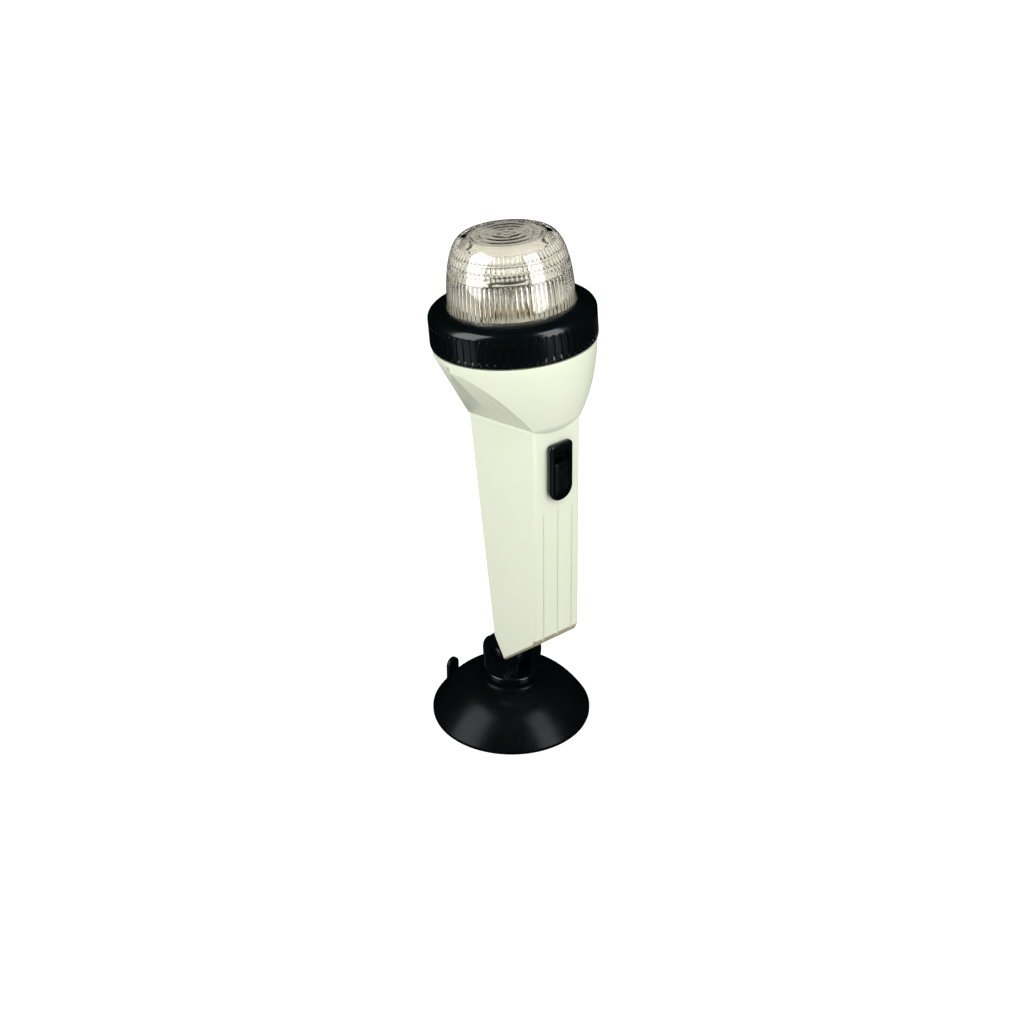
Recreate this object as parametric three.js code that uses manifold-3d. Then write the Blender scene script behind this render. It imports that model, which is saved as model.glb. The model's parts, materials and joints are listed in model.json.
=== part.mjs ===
// A portable stern light: an all-round white lamp on a battery grip, held by a suction cup.
// Millimetres, +Z up. The origin is the centre of the cup's rim, on the surface that it grips.
// The switch faces -Y. The grip leans back about the hinge bolt, which runs along X.
// Heights in the grip and the lamp are measured from the hinge, up the leaning lamp axis.
import * as THREE from "three";
import { ConvexGeometry } from "three/addons/geometries/ConvexGeometry.js";
import { mergeVertices } from "three/addons/utils/BufferGeometryUtils.js";
import Module from "manifold-3d";

const radians = THREE.MathUtils.degToRad;

// Fits and facets
const CLEARANCE = 0.3;
const SMALL_SIDES = 12;
const MEDIUM_SIDES = 16;
const ROUND_SIDES = 32;
const THREAD_STEPS = 24; // per turn
const OVERRUN = 1; // how far a cutting shape runs past the face that it cuts

// Suction cup
const CUP_RADIUS = 38;
const CUP_HEIGHT = 20.5;
const CUP_LIP_HEIGHT = 1.8;
const CUP_FOOT_WIDTH = 2.6;
const CUP_SEAT_RADIUS = 14.5;
const CUP_SEAT_STEP = 0.9;
const CUP_HOLLOW_HEIGHT = 8;
const CUP_SKIN = 2.1; // rubber between the hollow and the insert
const TAB_WIDTH = 7.5;
const TAB_HEIGHT = 13.4;
const TAB_THICKNESS = 2.4;
const TAB_ANGLE = radians(104);

// Threaded insert and swivel
const INSERT_FLANGE_RADIUS = 8;
const INSERT_FLANGE_HEIGHT = 2.8;
const INSERT_NECK_RADIUS = 5;
const SWIVEL_SCREW_RADIUS = 1.75;
const SWIVEL_HEAD_RADIUS = 3.4;
const SWIVEL_HEAD_HEIGHT = 2.4;
const SWIVEL_WASHER_RADIUS = 10;
const SWIVEL_WASHER_THICKNESS = 0.7;

// Fork, hinge bolt and hinge lug
const FORK_BASE_RADIUS = 12.8;
const FORK_BASE_HEIGHT = 3.2;
const EAR_RADIUS = 9.8;
const EAR_THICKNESS = 5.4;
const LUG_RADIUS = 8.5;
const LUG_THICKNESS = 6.4;
const LUG_RISE = 1.5; // room under the lug's rim
const SIDE_WASHER_THICKNESS = 0.6;
const SIDE_WASHER_RADIUS = 7.5;
const BOLT_RADIUS = 2;
const BOLT_HEAD_RADIUS = 3.7;
const BOLT_HEAD_HEIGHT = 2;
const NUT_ACROSS_FLATS = 7;
const NUT_THICKNESS = 2.8;
const PLATE_THICKNESS = 2.4;
const PLATE_WIDTH = 16;
const PLATE_LENGTH = 8.4;
const PLATE_INSET = 2.4; // plate's edge above the tip of the heel
const LUG_SCREW_RADIUS = 1.1;
const LUG_SCREW_LENGTH = 9;
const LUG_SCREW_SPREAD = 10.8;

// Cells
const CELL_DIAMETER = 14;
const CELL_LENGTH = 50.2;
const CELL_SPACING = 0.4;
const SPRING_LENGTH = 4.4;
const CONTACT_THICKNESS = 0.5;
const TRAY_WALL = 1.5;

// Grip
const GRIP_WALL = 2;
const GRIP_SIDE_ROOM = 4; // between a cell and the side wall
const GRIP_END_ROOM = 0.6; // between the cells and the front and rear walls
const GRIP_EDGE_RADIUS = 1.6;
const LEAN = radians(6.9);
const FRONT_SLOPE = radians(5.716);
const REAR_SLOPE = radians(2.11);
const FOOT_SLOPE = radians(35.1);
const HEEL_SLOPE = radians(29.44);
const HEEL_LENGTH = 12.8;
const HEEL_CLEARANCE = 0.6; // between the ears and the heel that turns round them
const PIVOT_SETBACK = 4.2; // rear wall to hinge
const FOOT_ROOM = 11; // front corner of the foot to the floor under the tray
const FOOT_CHAMFER = 2;
const LAMP_SETFORWARD = 0.65; // lamp axis ahead of the middle of the cells
const GROOVE_COUNT = 3;
const GROOVE_SPACING = 8.2;
const GROOVE_WIDTH = 1.4;
const GROOVE_DEPTH = 0.7;
const GROOVE_TOP = 52.5; // above the tray's floor

// Head
const CREASE_DROP = 1.5; // crease below the top of the cells
const CREASE_SLOPE = radians(4.38);
const HEAD_RISE = 32.2;
const HEAD_RADIUS = 36;
const HEAD_BULGE = 2;
const HEAD_SIDE_SLOPE = 0.7735;
const HEAD_BAND = 2.2;
const NECK_STEP = 3.6;
const NECK_HEIGHT = 11.3;
const NECK_WALL = 2.4;
const LEDGE_DEPTH = 3.6; // below the neck's rim
const LEDGE_WIDTH = 2.5;
const THREAD_PITCH = 3;
const THREAD_DEPTH = 0.8;
const RING_TURNS = 1.25;

// Screw ring
const RING_HEIGHT = 18.3;
const RING_PROUD = 0.8;
const RING_RIBS = 64;
const RIB_DEPTH = 0.6;
const RING_CHAMFER = 2;
const RING_SHOULDER_HEIGHT = 5.5;
const RING_TOP_WIDTH = 9;
const RING_LIP = 1.9;
const BORE_CLEARANCE = 0.5;

// Lens
const LENS_HEIGHT = 30.8;
const LENS_WALL = 2.2;
const LENS_FLANGE_HEIGHT = 2.4;
const LENS_TOP_RADIUS = 17;
const LENS_STEPS = 3;
const LENS_STEP_DEPTH = 0.6;
const GASKET_THICKNESS = 2.1;
const GASKET_SIDES = 6;

// Lamp
const CARRIER_THICKNESS = 2;
const SOCKET_RADIUS = 5.6;
const SOCKET_WALL = 0.6;
const SOCKET_HEIGHT = 12;
const BULB_RADIUS = 4.2;
const GLASS_WALL = 0.5;
const BULB_CAP_RADIUS = 4.4;
const BULB_CAP_HEIGHT = 9;
const SHIELD_RADIUS = 8;
const SHIELD_HEIGHT = 20.6; // above the carrier
const SHIELD_THICKNESS = 1.2;

// Switch, in its own frame on the front wall
const SWITCH_WIDTH = 12.9;
const SWITCH_LENGTH = 28.4;
const SWITCH_PROUD = 3;
const SWITCH_DROP = 22.6; // middle of the switch below the crease
const SWITCH_CORNER = 2;
const PAD_WIDTH = 8;
const PAD_LENGTH = 16;
const PAD_DEPTH = 2;
const SWITCH_TRAVEL = 5;
const STEM_WIDTH = 4;
const STEM_LENGTH = 7;
const SKIRT_WALL = 1.6;
const SWITCH_BOX_DEPTH = 5.5; // less where the cells leave less room
const SWITCH_BOX_WALL = 1.2;

// Wires
const WIRE_RADIUS = 0.7;

// Worked out from the sizes above
const WASHER_BOTTOM = CUP_HEIGHT + CLEARANCE;
const FORK_BOTTOM = WASHER_BOTTOM + SWIVEL_WASHER_THICKNESS + CLEARANCE;
const FORK_FLOOR = FORK_BOTTOM + FORK_BASE_HEIGHT;
const PIVOT_HEIGHT = FORK_FLOOR + LUG_RADIUS + LUG_RISE;
const SIDE_WASHER_INNER = LUG_THICKNESS / 2 + CLEARANCE;
const EAR_INNER = SIDE_WASHER_INNER + SIDE_WASHER_THICKNESS + CLEARANCE;
const EAR_OUTER = EAR_INNER + EAR_THICKNESS;
const GRIP_WIDTH = CELL_DIAMETER + 2 * (GRIP_WALL + GRIP_SIDE_ROOM);
const TRAY_DEPTH = 2 * CELL_DIAMETER + CELL_SPACING;
const GRIP_DEPTH = TRAY_DEPTH + 2 * (GRIP_END_ROOM + GRIP_WALL);

// The grip's side outline, from the hinge: [distance back, height]
const HEEL_REACH = EAR_RADIUS + HEEL_CLEARANCE;
const heelTop = [
  -PIVOT_SETBACK,
  (HEEL_REACH - PIVOT_SETBACK * Math.cos(HEEL_SLOPE)) / Math.sin(HEEL_SLOPE),
];
const heelTip = [
  heelTop[0] - HEEL_LENGTH * Math.sin(HEEL_SLOPE),
  heelTop[1] - HEEL_LENGTH * Math.cos(HEEL_SLOPE),
];
const footLength =
  (GRIP_DEPTH -
    FOOT_ROOM * Math.tan(FRONT_SLOPE) -
    HEEL_LENGTH * Math.sin(HEEL_SLOPE) -
    (heelTip[1] + FOOT_ROOM - heelTop[1]) * Math.tan(REAR_SLOPE)) /
  (Math.cos(FOOT_SLOPE) + Math.tan(REAR_SLOPE) * Math.sin(FOOT_SLOPE));
const toe = [
  heelTip[0] - footLength * Math.cos(FOOT_SLOPE),
  heelTip[1] + footLength * Math.sin(FOOT_SLOPE),
];
const TRAY_LEVEL = toe[1] + FOOT_ROOM;
const frontFromHinge = (height) => toe[0] - (height - toe[1]) * Math.tan(FRONT_SLOPE);
const rearFromHinge = (height) => heelTop[0] + (height - heelTop[1]) * Math.tan(REAR_SLOPE);
const LAMP_OFFSET =
  LAMP_SETFORWARD - (frontFromHinge(TRAY_LEVEL) + rearFromHinge(TRAY_LEVEL)) / 2;

// From here on, distances back are measured from the lamp axis
const frontWall = (height) => frontFromHinge(height) + LAMP_OFFSET;
const rearWall = (height) => rearFromHinge(height) + LAMP_OFFSET;
const CREASE_LEVEL = TRAY_LEVEL + 2 * CELL_LENGTH - CREASE_DROP;
const creaseFront = [frontWall(CREASE_LEVEL), CREASE_LEVEL];
const REAR_CREASE_LEVEL =
  CREASE_LEVEL - (rearWall(CREASE_LEVEL) - creaseFront[0]) * Math.tan(CREASE_SLOPE);
const creaseRear = [rearWall(REAR_CREASE_LEVEL), REAR_CREASE_LEVEL];
const SHOULDER_LEVEL = CREASE_LEVEL + HEAD_RISE;
const NECK_RADIUS = HEAD_RADIUS - NECK_STEP;
const NECK_TOP = SHOULDER_LEVEL + NECK_HEIGHT;
const NECK_BORE = NECK_RADIUS - NECK_WALL;
const LEDGE_LEVEL = NECK_TOP - LEDGE_DEPTH;
const RING_BOTTOM = SHOULDER_LEVEL + CLEARANCE;
const RING_TOP = RING_BOTTOM + RING_HEIGHT;
const RING_RADIUS = HEAD_RADIUS + RING_PROUD;
const RING_BORE = NECK_RADIUS + BORE_CLEARANCE;
const RING_MOUTH = RING_RADIUS - RING_TOP_WIDTH + CLEARANCE;
const LENS_RADIUS = RING_MOUTH - CLEARANCE;
const GASKET_BOTTOM = NECK_TOP + CLEARANCE;
const FLANGE_BOTTOM = GASKET_BOTTOM + GASKET_THICKNESS + CLEARANCE;
const FLANGE_TOP = FLANGE_BOTTOM + LENS_FLANGE_HEIGHT;
const LENS_TOP = RING_TOP + LENS_HEIGHT;
const THREAD_START = SHOULDER_LEVEL + CLEARANCE + RING_CHAMFER;
const CARRIER_BOTTOM = LEDGE_LEVEL + CLEARANCE;
const CARRIER_TOP = CARRIER_BOTTOM + CARRIER_THICKNESS;
const TRAY_BOTTOM = TRAY_LEVEL + CLEARANCE;
const CELL_BOTTOM = TRAY_BOTTOM + TRAY_WALL + CONTACT_THICKNESS + 2 * CLEARANCE;
const CELLS_TOP = CELL_BOTTOM + 2 * CELL_LENGTH + CLEARANCE;
const TOP_CONTACT_BOTTOM = CELLS_TOP + SPRING_LENGTH + 2 * CLEARANCE;
const TRAY_TOP_BOTTOM = TOP_CONTACT_BOTTOM + CONTACT_THICKNESS + CLEARANCE;
const CELL_PITCH = CELL_DIAMETER + CELL_SPACING;
const TRAY_SIDE = CELL_DIAMETER / 2 + CLEARANCE;
const SWITCH_LEVEL = CREASE_LEVEL - SWITCH_DROP;

const FINISHES = {
  rubber: { color: 0x14161a, roughness: 0.42, metalness: 0 },
  blackPlastic: { color: 0x0c0e11, roughness: 0.3, metalness: 0 },
  ivoryPlastic: { color: 0xe9ead6, roughness: 0.45, metalness: 0 },
  whitePlastic: { color: 0xf2f2ea, roughness: 0.5, metalness: 0 },
  clearPlastic: { color: 0xf4f6f2, roughness: 0.05, metalness: 0 },
  glass: { color: 0xffffff, roughness: 0.02, metalness: 0 },
  steel: { color: 0xb9bcc0, roughness: 0.3, metalness: 1 },
  brass: { color: 0xc9a24a, roughness: 0.3, metalness: 1 },
  tungsten: { color: 0x6d6a66, roughness: 0.5, metalness: 1 },
  cellJacket: { color: 0x3a5f8f, roughness: 0.4, metalness: 0 },
  redWire: { color: 0xa82420, roughness: 0.5, metalness: 0 },
  blackWire: { color: 0x17181a, roughness: 0.5, metalness: 0 },
};

const wasm = await Module();
wasm.setup();

// Solids: closed geometries are joined and cut as manifold solids
function solidOf(geometry) {
  const bare = new THREE.BufferGeometry();
  bare.setAttribute("position", geometry.getAttribute("position"));
  bare.setIndex(geometry.getIndex());
  const merged = mergeVertices(bare, 1e-4);
  const corners = merged.getIndex().array;
  const triVerts = [];
  for (let i = 0; i < corners.length; i += 3) {
    const [a, b, c] = corners.slice(i, i + 3);
    if (a !== b && b !== c && c !== a) {
      triVerts.push(a, b, c);
    }
  }
  const vertProperties = merged.getAttribute("position").array;
  return new wasm.Manifold(
    new wasm.Mesh({ numProp: 3, vertProperties, triVerts: Uint32Array.from(triVerts) }),
  );
}

function geometryOf(solid) {
  const mesh = solid.getMesh();
  const geometry = new THREE.BufferGeometry();
  geometry.setAttribute("position", new THREE.BufferAttribute(mesh.vertProperties, 3));
  geometry.setIndex(new THREE.BufferAttribute(mesh.triVerts, 1));
  const faceted = geometry.toNonIndexed();
  faceted.computeVertexNormals();
  return faceted;
}

function combined(first, others, step) {
  return geometryOf(others.reduce((sum, other) => step(sum, solidOf(other)), solidOf(first)));
}

const joined = (first, ...others) => combined(first, others, (a, b) => a.add(b));
const cut = (first, ...others) => combined(first, others, (a, b) => a.subtract(b));
const shared = (first, ...others) => combined(first, others, (a, b) => a.intersect(b));

// Shapes
function turned(profile, sides = ROUND_SIDES) {
  const points = profile.map(([radius, height]) => new THREE.Vector2(radius, height));
  if (profile[0][0] > 0) {
    points.push(points[0].clone());
  }
  return new THREE.LatheGeometry(points, sides).rotateX(Math.PI / 2);
}

// A turned piece whose axis is X: a profile is [radius, distance along X]
function turnedAcross(profile, sides = MEDIUM_SIDES) {
  return turned(profile, sides).rotateY(Math.PI / 2);
}

function rod(radius, bottom, top, sides = MEDIUM_SIDES) {
  return turned([[0, bottom], [radius, bottom], [radius, top], [0, top]], sides);
}

function rodAcross(radius, from, to, sides = MEDIUM_SIDES) {
  return rod(radius, from, to, sides).rotateY(Math.PI / 2);
}

function washer(inner, outer, bottom, top, sides = ROUND_SIDES) {
  return turned([[inner, bottom], [outer, bottom], [outer, top], [inner, top]], sides);
}

function block(x, y, z) {
  const box = new THREE.BoxGeometry(x[1] - x[0], y[1] - y[0], z[1] - z[0]);
  return box.translate((x[0] + x[1]) / 2, (y[0] + y[1]) / 2, (z[0] + z[1]) / 2);
}

function extruded(shape, from, to, curveSegments = 6) {
  const options = { depth: to - from, bevelEnabled: false, curveSegments };
  return new THREE.ExtrudeGeometry(shape, options).translate(0, 0, from);
}

// A side outline of [back, height] points, made solid from -halfWidth to halfWidth in X
const SIDEWAYS = new THREE.Matrix4().makeBasis(
  new THREE.Vector3(0, 1, 0),
  new THREE.Vector3(0, 0, 1),
  new THREE.Vector3(1, 0, 0),
);

function slab(outline, halfWidth) {
  const shape = new THREE.Shape(outline.map(([back, height]) => new THREE.Vector2(back, height)));
  return extruded(shape, -halfWidth, halfWidth).applyMatrix4(SIDEWAYS);
}

// An outline in the XZ plane, made solid between two distances back
const FACEWISE = new THREE.Matrix4().makeBasis(
  new THREE.Vector3(1, 0, 0),
  new THREE.Vector3(0, 0, 1),
  new THREE.Vector3(0, -1, 0),
);

function panel(shape, from, to) {
  return extruded(shape, -to, -from).applyMatrix4(FACEWISE);
}

function hull(points) {
  return new ConvexGeometry(points.map((point) => new THREE.Vector3(...point)));
}

function bezier(from, pull, to, steps) {
  const curve = new THREE.QuadraticBezierCurve(
    new THREE.Vector2(...from),
    new THREE.Vector2(...pull),
    new THREE.Vector2(...to),
  );
  return curve.getPoints(steps).map((point) => [point.x, point.y]);
}

function circlePoints(count, radius) {
  const circle = new THREE.Path().absarc(0, 0, radius, 0, 2 * Math.PI);
  return circle.getSpacedPoints(count).slice(0, count);
}

function wireAlong(curve, radius, steps, sides = 5) {
  const section = new THREE.Shape(circlePoints(sides, radius));
  return new THREE.ExtrudeGeometry(section, { steps, bevelEnabled: false, extrudePath: curve });
}

function wireThrough(points, radius, steps) {
  const curve = new THREE.CatmullRomCurve3(points.map((point) => new THREE.Vector3(...point)));
  return wireAlong(curve, radius, steps);
}

// A section of [radius, height] points swept up a right-hand helix
function helicalSweep(section, fromTurn, toTurn, pitch) {
  const steps = Math.ceil((toTurn - fromTurn) * THREAD_STEPS);
  const count = section.length;
  const positions = [];
  for (let i = 0; i <= steps; i += 1) {
    const turn = fromTurn + ((toTurn - fromTurn) * i) / steps;
    const angle = 2 * Math.PI * turn;
    for (const [radius, height] of section) {
      positions.push(radius * Math.cos(angle), radius * Math.sin(angle), height + pitch * turn);
    }
  }
  const corners = [];
  for (let i = 0; i < steps; i += 1) {
    for (let j = 0; j < count; j += 1) {
      const near = i * count + j;
      const next = i * count + ((j + 1) % count);
      corners.push(near, near + count, next + count, near, next + count, next);
    }
  }
  for (let j = 1; j + 1 < count; j += 1) {
    const last = steps * count;
    corners.push(0, j, j + 1, last, last + j + 1, last + j);
  }
  const sweep = new THREE.BufferGeometry();
  sweep.setAttribute("position", new THREE.Float32BufferAttribute(positions, 3));
  sweep.setIndex(corners);
  return sweep;
}

function piece(name, geometry, finish) {
  const mesh = new THREE.Mesh(geometry, new THREE.MeshStandardMaterial(FINISHES[finish]));
  mesh.name = name;
  return mesh;
}

// Cup side
const INSERT_BOTTOM = CUP_HOLLOW_HEIGHT + CUP_SKIN + CLEARANCE;
const INSERT_FLANGE_TOP = INSERT_BOTTOM + INSERT_FLANGE_HEIGHT;
const INSERT_TOP = CUP_HEIGHT - CLEARANCE;

function suctionCup() {
  const footInner = CUP_RADIUS - CUP_FOOT_WIDTH;
  const hollowPull = [0.62 * footInner, CUP_HOLLOW_HEIGHT];
  const hollow = bezier([footInner, 0], hollowPull, [0, CUP_HOLLOW_HEIGHT], 4);
  const domeTop = [CUP_SEAT_RADIUS, CUP_HEIGHT - CUP_SEAT_STEP];
  const pull = [(CUP_RADIUS + CUP_SEAT_RADIUS) / 2 + 0.7, CUP_HEIGHT - CUP_SEAT_STEP - 0.3];
  const dome = bezier([CUP_RADIUS, CUP_LIP_HEIGHT], pull, domeTop, 6);
  const slotTop = INSERT_FLANGE_TOP + CLEARANCE;
  const profile = [
    ...hollow.reverse(),
    [CUP_RADIUS, 0],
    ...dome,
    [CUP_SEAT_RADIUS - CUP_SEAT_STEP / 3, CUP_HEIGHT],
    [INSERT_NECK_RADIUS + CLEARANCE, CUP_HEIGHT],
    [INSERT_NECK_RADIUS + CLEARANCE, slotTop],
    [INSERT_FLANGE_RADIUS + CLEARANCE, slotTop],
    [INSERT_FLANGE_RADIUS + CLEARANCE, INSERT_BOTTOM - CLEARANCE],
    [0, INSERT_BOTTOM - CLEARANCE],
  ];
  return joined(turned(profile), releaseTab());
}

// The upright tab that lifts the rim, on the rear edge
function releaseTab() {
  const half = TAB_WIDTH / 2;
  const shape = new THREE.Shape();
  shape.moveTo(-half, CUP_LIP_HEIGHT / 2);
  shape.lineTo(half, CUP_LIP_HEIGHT / 2);
  shape.lineTo(half, TAB_HEIGHT - half);
  shape.absarc(0, TAB_HEIGHT - half, half, 0, Math.PI);
  const outer = Math.sqrt(CUP_RADIUS ** 2 - half ** 2) - CLEARANCE;
  return panel(shape, outer - TAB_THICKNESS, outer).rotateZ(TAB_ANGLE - Math.PI / 2);
}

function cupInsert() {
  const bore = SWIVEL_SCREW_RADIUS + CLEARANCE;
  return turned(
    [
      [0, INSERT_BOTTOM],
      [INSERT_FLANGE_RADIUS, INSERT_BOTTOM],
      [INSERT_FLANGE_RADIUS, INSERT_FLANGE_TOP],
      [INSERT_NECK_RADIUS, INSERT_FLANGE_TOP],
      [INSERT_NECK_RADIUS, INSERT_TOP],
      [bore, INSERT_TOP],
      [bore, INSERT_BOTTOM + INSERT_FLANGE_HEIGHT / 2],
      [0, INSERT_BOTTOM + INSERT_FLANGE_HEIGHT / 2],
    ],
    MEDIUM_SIDES,
  );
}

function swivelWasher() {
  const top = WASHER_BOTTOM + SWIVEL_WASHER_THICKNESS;
  return washer(SWIVEL_SCREW_RADIUS + CLEARANCE, SWIVEL_WASHER_RADIUS, WASHER_BOTTOM, top);
}

function swivelScrew() {
  const top = FORK_FLOOR - CLEARANCE;
  const screw = turned(
    [
      [0, INSERT_FLANGE_TOP],
      [SWIVEL_SCREW_RADIUS, INSERT_FLANGE_TOP],
      [SWIVEL_SCREW_RADIUS, top - SWIVEL_HEAD_HEIGHT],
      [SWIVEL_HEAD_RADIUS, top - CLEARANCE],
      [SWIVEL_HEAD_RADIUS, top],
      [0, top],
    ],
    MEDIUM_SIDES,
  );
  return cut(screw, ...crossSlot(top));
}

// The cross slot in the head of a screw whose head faces up
function crossSlot(top) {
  const reach = 2.2;
  const half = 0.4;
  const depth = 1;
  return [
    block([-reach, reach], [-half, half], [top - depth, top + OVERRUN]),
    block([-half, half], [-reach, reach], [top - depth, top + OVERRUN]),
  ];
}

// Hinge fork
function forkEar(side) {
  const shape = new THREE.Shape();
  const foot = Math.sqrt(FORK_BASE_RADIUS ** 2 - EAR_OUTER ** 2) - CLEARANCE;
  shape.moveTo(-foot, FORK_BOTTOM + CLEARANCE);
  shape.lineTo(foot, FORK_BOTTOM + CLEARANCE);
  shape.absarc(0, PIVOT_HEIGHT, EAR_RADIUS, 0, Math.PI);
  const ear = extruded(shape, EAR_INNER, EAR_OUTER, ROUND_SIDES / 4).applyMatrix4(SIDEWAYS);
  return side > 0 ? ear : ear.translate(-EAR_INNER - EAR_OUTER, 0, 0);
}

function fork() {
  const bore = SWIVEL_SCREW_RADIUS + CLEARANCE;
  const seat = SWIVEL_HEAD_RADIUS + CLEARANCE;
  const base = turned([
    [bore, FORK_BOTTOM],
    [FORK_BASE_RADIUS, FORK_BOTTOM],
    [FORK_BASE_RADIUS, FORK_FLOOR - 0.8],
    [FORK_BASE_RADIUS - 0.8, FORK_FLOOR],
    [seat, FORK_FLOOR],
    [seat, FORK_FLOOR - 3 * CLEARANCE],
    [bore, FORK_FLOOR - SWIVEL_HEAD_HEIGHT - 2 * CLEARANCE],
  ]);
  const boltHole = rodAcross(BOLT_RADIUS + CLEARANCE, -EAR_OUTER - OVERRUN, EAR_OUTER + OVERRUN);
  const headDepth = BOLT_HEAD_HEIGHT + 2 * CLEARANCE;
  const headHole = rodAcross(
    BOLT_HEAD_RADIUS + CLEARANCE,
    -EAR_OUTER - OVERRUN,
    -EAR_OUTER + headDepth,
  );
  const nutPocket = hexagon(NUT_ACROSS_FLATS + 2 * CLEARANCE, NUT_FROM - CLEARANCE, EAR_OUTER + OVERRUN);
  const holes = [boltHole, headHole, nutPocket].map((hole) => hole.translate(0, 0, PIVOT_HEIGHT));
  return cut(joined(base, forkEar(-1), forkEar(1)), ...holes);
}

function tiltBolt() {
  const headInner = -EAR_OUTER + BOLT_HEAD_HEIGHT + CLEARANCE;
  const headOuter = headInner - BOLT_HEAD_HEIGHT;
  const tip = EAR_OUTER - CLEARANCE;
  const bolt = turnedAcross([
    [0, headOuter],
    [BOLT_HEAD_RADIUS - 0.5, headOuter],
    [BOLT_HEAD_RADIUS, headOuter + 0.5],
    [BOLT_HEAD_RADIUS, headInner],
    [BOLT_RADIUS, headInner],
    [BOLT_RADIUS, tip],
    [0, tip],
  ]);
  const slot = block([headOuter - OVERRUN, headOuter + 0.9], [-5, 5], [-0.5, 0.5]);
  return cut(bolt, slot);
}

function tiltWasher(side) {
  const inner = side > 0 ? SIDE_WASHER_INNER : -SIDE_WASHER_INNER - SIDE_WASHER_THICKNESS;
  const ring = washer(
    BOLT_RADIUS + CLEARANCE,
    SIDE_WASHER_RADIUS,
    inner,
    inner + SIDE_WASHER_THICKNESS,
    MEDIUM_SIDES,
  );
  return ring.rotateY(Math.PI / 2);
}

// The hexagon nut, held against turning by its pocket in the ear
const NUT_FROM = EAR_OUTER - CLEARANCE - NUT_THICKNESS;

function hexagon(acrossFlats, from, to) {
  const radius = acrossFlats / 2 / Math.cos(Math.PI / 6);
  return rodAcross(radius, from, to, 6);
}

function tiltNut() {
  const nut = hexagon(NUT_ACROSS_FLATS, NUT_FROM, NUT_FROM + NUT_THICKNESS);
  const hole = rodAcross(BOLT_RADIUS + CLEARANCE, NUT_FROM - OVERRUN, EAR_OUTER + OVERRUN);
  return cut(nut, hole);
}

// The hinge lug, in a frame at the hinge whose +Y points out of the heel's face
const PLATE_OUTER = -HEEL_REACH - 0.1;
const PLATE_INNER = PLATE_OUTER - PLATE_THICKNESS;
const PLATE_BOTTOM =
  heelTip[0] * Math.sin(HEEL_SLOPE) + heelTip[1] * Math.cos(HEEL_SLOPE) + PLATE_INSET;
const PLATE_MIDDLE = PLATE_BOTTOM + PLATE_LENGTH / 2;

function hingeLug() {
  const disc = circlePoints(MEDIUM_SIDES, LUG_RADIUS);
  const root = [PLATE_BOTTOM + 0.6, PLATE_BOTTOM + PLATE_LENGTH - 0.6];
  const half = LUG_THICKNESS / 2;
  const foot = -HEEL_REACH + CLEARANCE;
  const arm = hull(
    [-half, half].flatMap((x) => [
      ...disc.map((point) => [x, point.x, point.y]),
      ...root.map((height) => [x, foot, height]),
    ]),
  );
  const step = block([-half, half], [PLATE_OUTER - 0.5, foot + 0.5], root);
  const plate = block(
    [-PLATE_WIDTH / 2, PLATE_WIDTH / 2],
    [PLATE_INNER, PLATE_OUTER],
    [PLATE_BOTTOM, PLATE_BOTTOM + PLATE_LENGTH],
  );
  const bore = rodAcross(BOLT_RADIUS + CLEARANCE, -half - OVERRUN, half + OVERRUN);
  const holes = [-1, 1].map((side) => lugScrewShape(side, CLEARANCE));
  return cut(joined(plate, step, arm), bore, ...holes);
}

// A countersunk screw through the lug's plate, or with a margin the hole for it
function lugScrewShape(side, margin = 0) {
  const top = PLATE_OUTER - CLEARANCE + (margin > 0 ? OVERRUN : 0);
  const headRadius = 2 + margin;
  const under = PLATE_OUTER - CLEARANCE - 1.4 - margin;
  const shank = LUG_SCREW_RADIUS + margin;
  const tip = PLATE_OUTER - CLEARANCE - LUG_SCREW_LENGTH - margin;
  const screw = turned(
    [[0, tip], [shank, tip], [shank, under], [headRadius, under + 1.2], [headRadius, top], [0, top]],
    SMALL_SIDES,
  );
  screw.rotateX(-Math.PI / 2);
  return screw.translate((side * LUG_SCREW_SPREAD) / 2, 0, PLATE_MIDDLE);
}

function lugScrew(side) {
  const screw = lugScrewShape(side);
  const face = PLATE_OUTER - CLEARANCE;
  const slotDepth = 0.8;
  const x = (side * LUG_SCREW_SPREAD) / 2;
  const z = PLATE_MIDDLE;
  const depth = [face - slotDepth, face + OVERRUN];
  const reach = 1.3;
  const half = 0.3;
  const slot = block([x - reach, x + reach], depth, [z - half, z + half]);
  const cross = block([x - half, x + half], depth, [z - reach, z + reach]);
  return cut(screw, slot, cross);
}

// Case
const heelFrame = new THREE.Matrix4()
  .makeTranslation(0, LAMP_OFFSET, 0)
  .multiply(new THREE.Matrix4().makeRotationX(-HEEL_SLOPE));
const switchFrame = new THREE.Matrix4()
  .makeTranslation(0, frontWall(SWITCH_LEVEL), SWITCH_LEVEL)
  .multiply(new THREE.Matrix4().makeRotationX(FRONT_SLOPE));

const fromLamp = ([back, height]) => [back + LAMP_OFFSET, height];

// The grip's side outline from the lamp axis, anticlockwise from the front corner of the foot
const gripOutline = [
  [toe[0] - FOOT_CHAMFER * Math.tan(FRONT_SLOPE), toe[1] + FOOT_CHAMFER],
  [toe[0] + FOOT_CHAMFER * Math.cos(FOOT_SLOPE), toe[1] - FOOT_CHAMFER * Math.sin(FOOT_SLOPE)],
  heelTip,
  heelTop,
].map(fromLamp).concat([creaseRear, creaseFront]);

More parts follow.
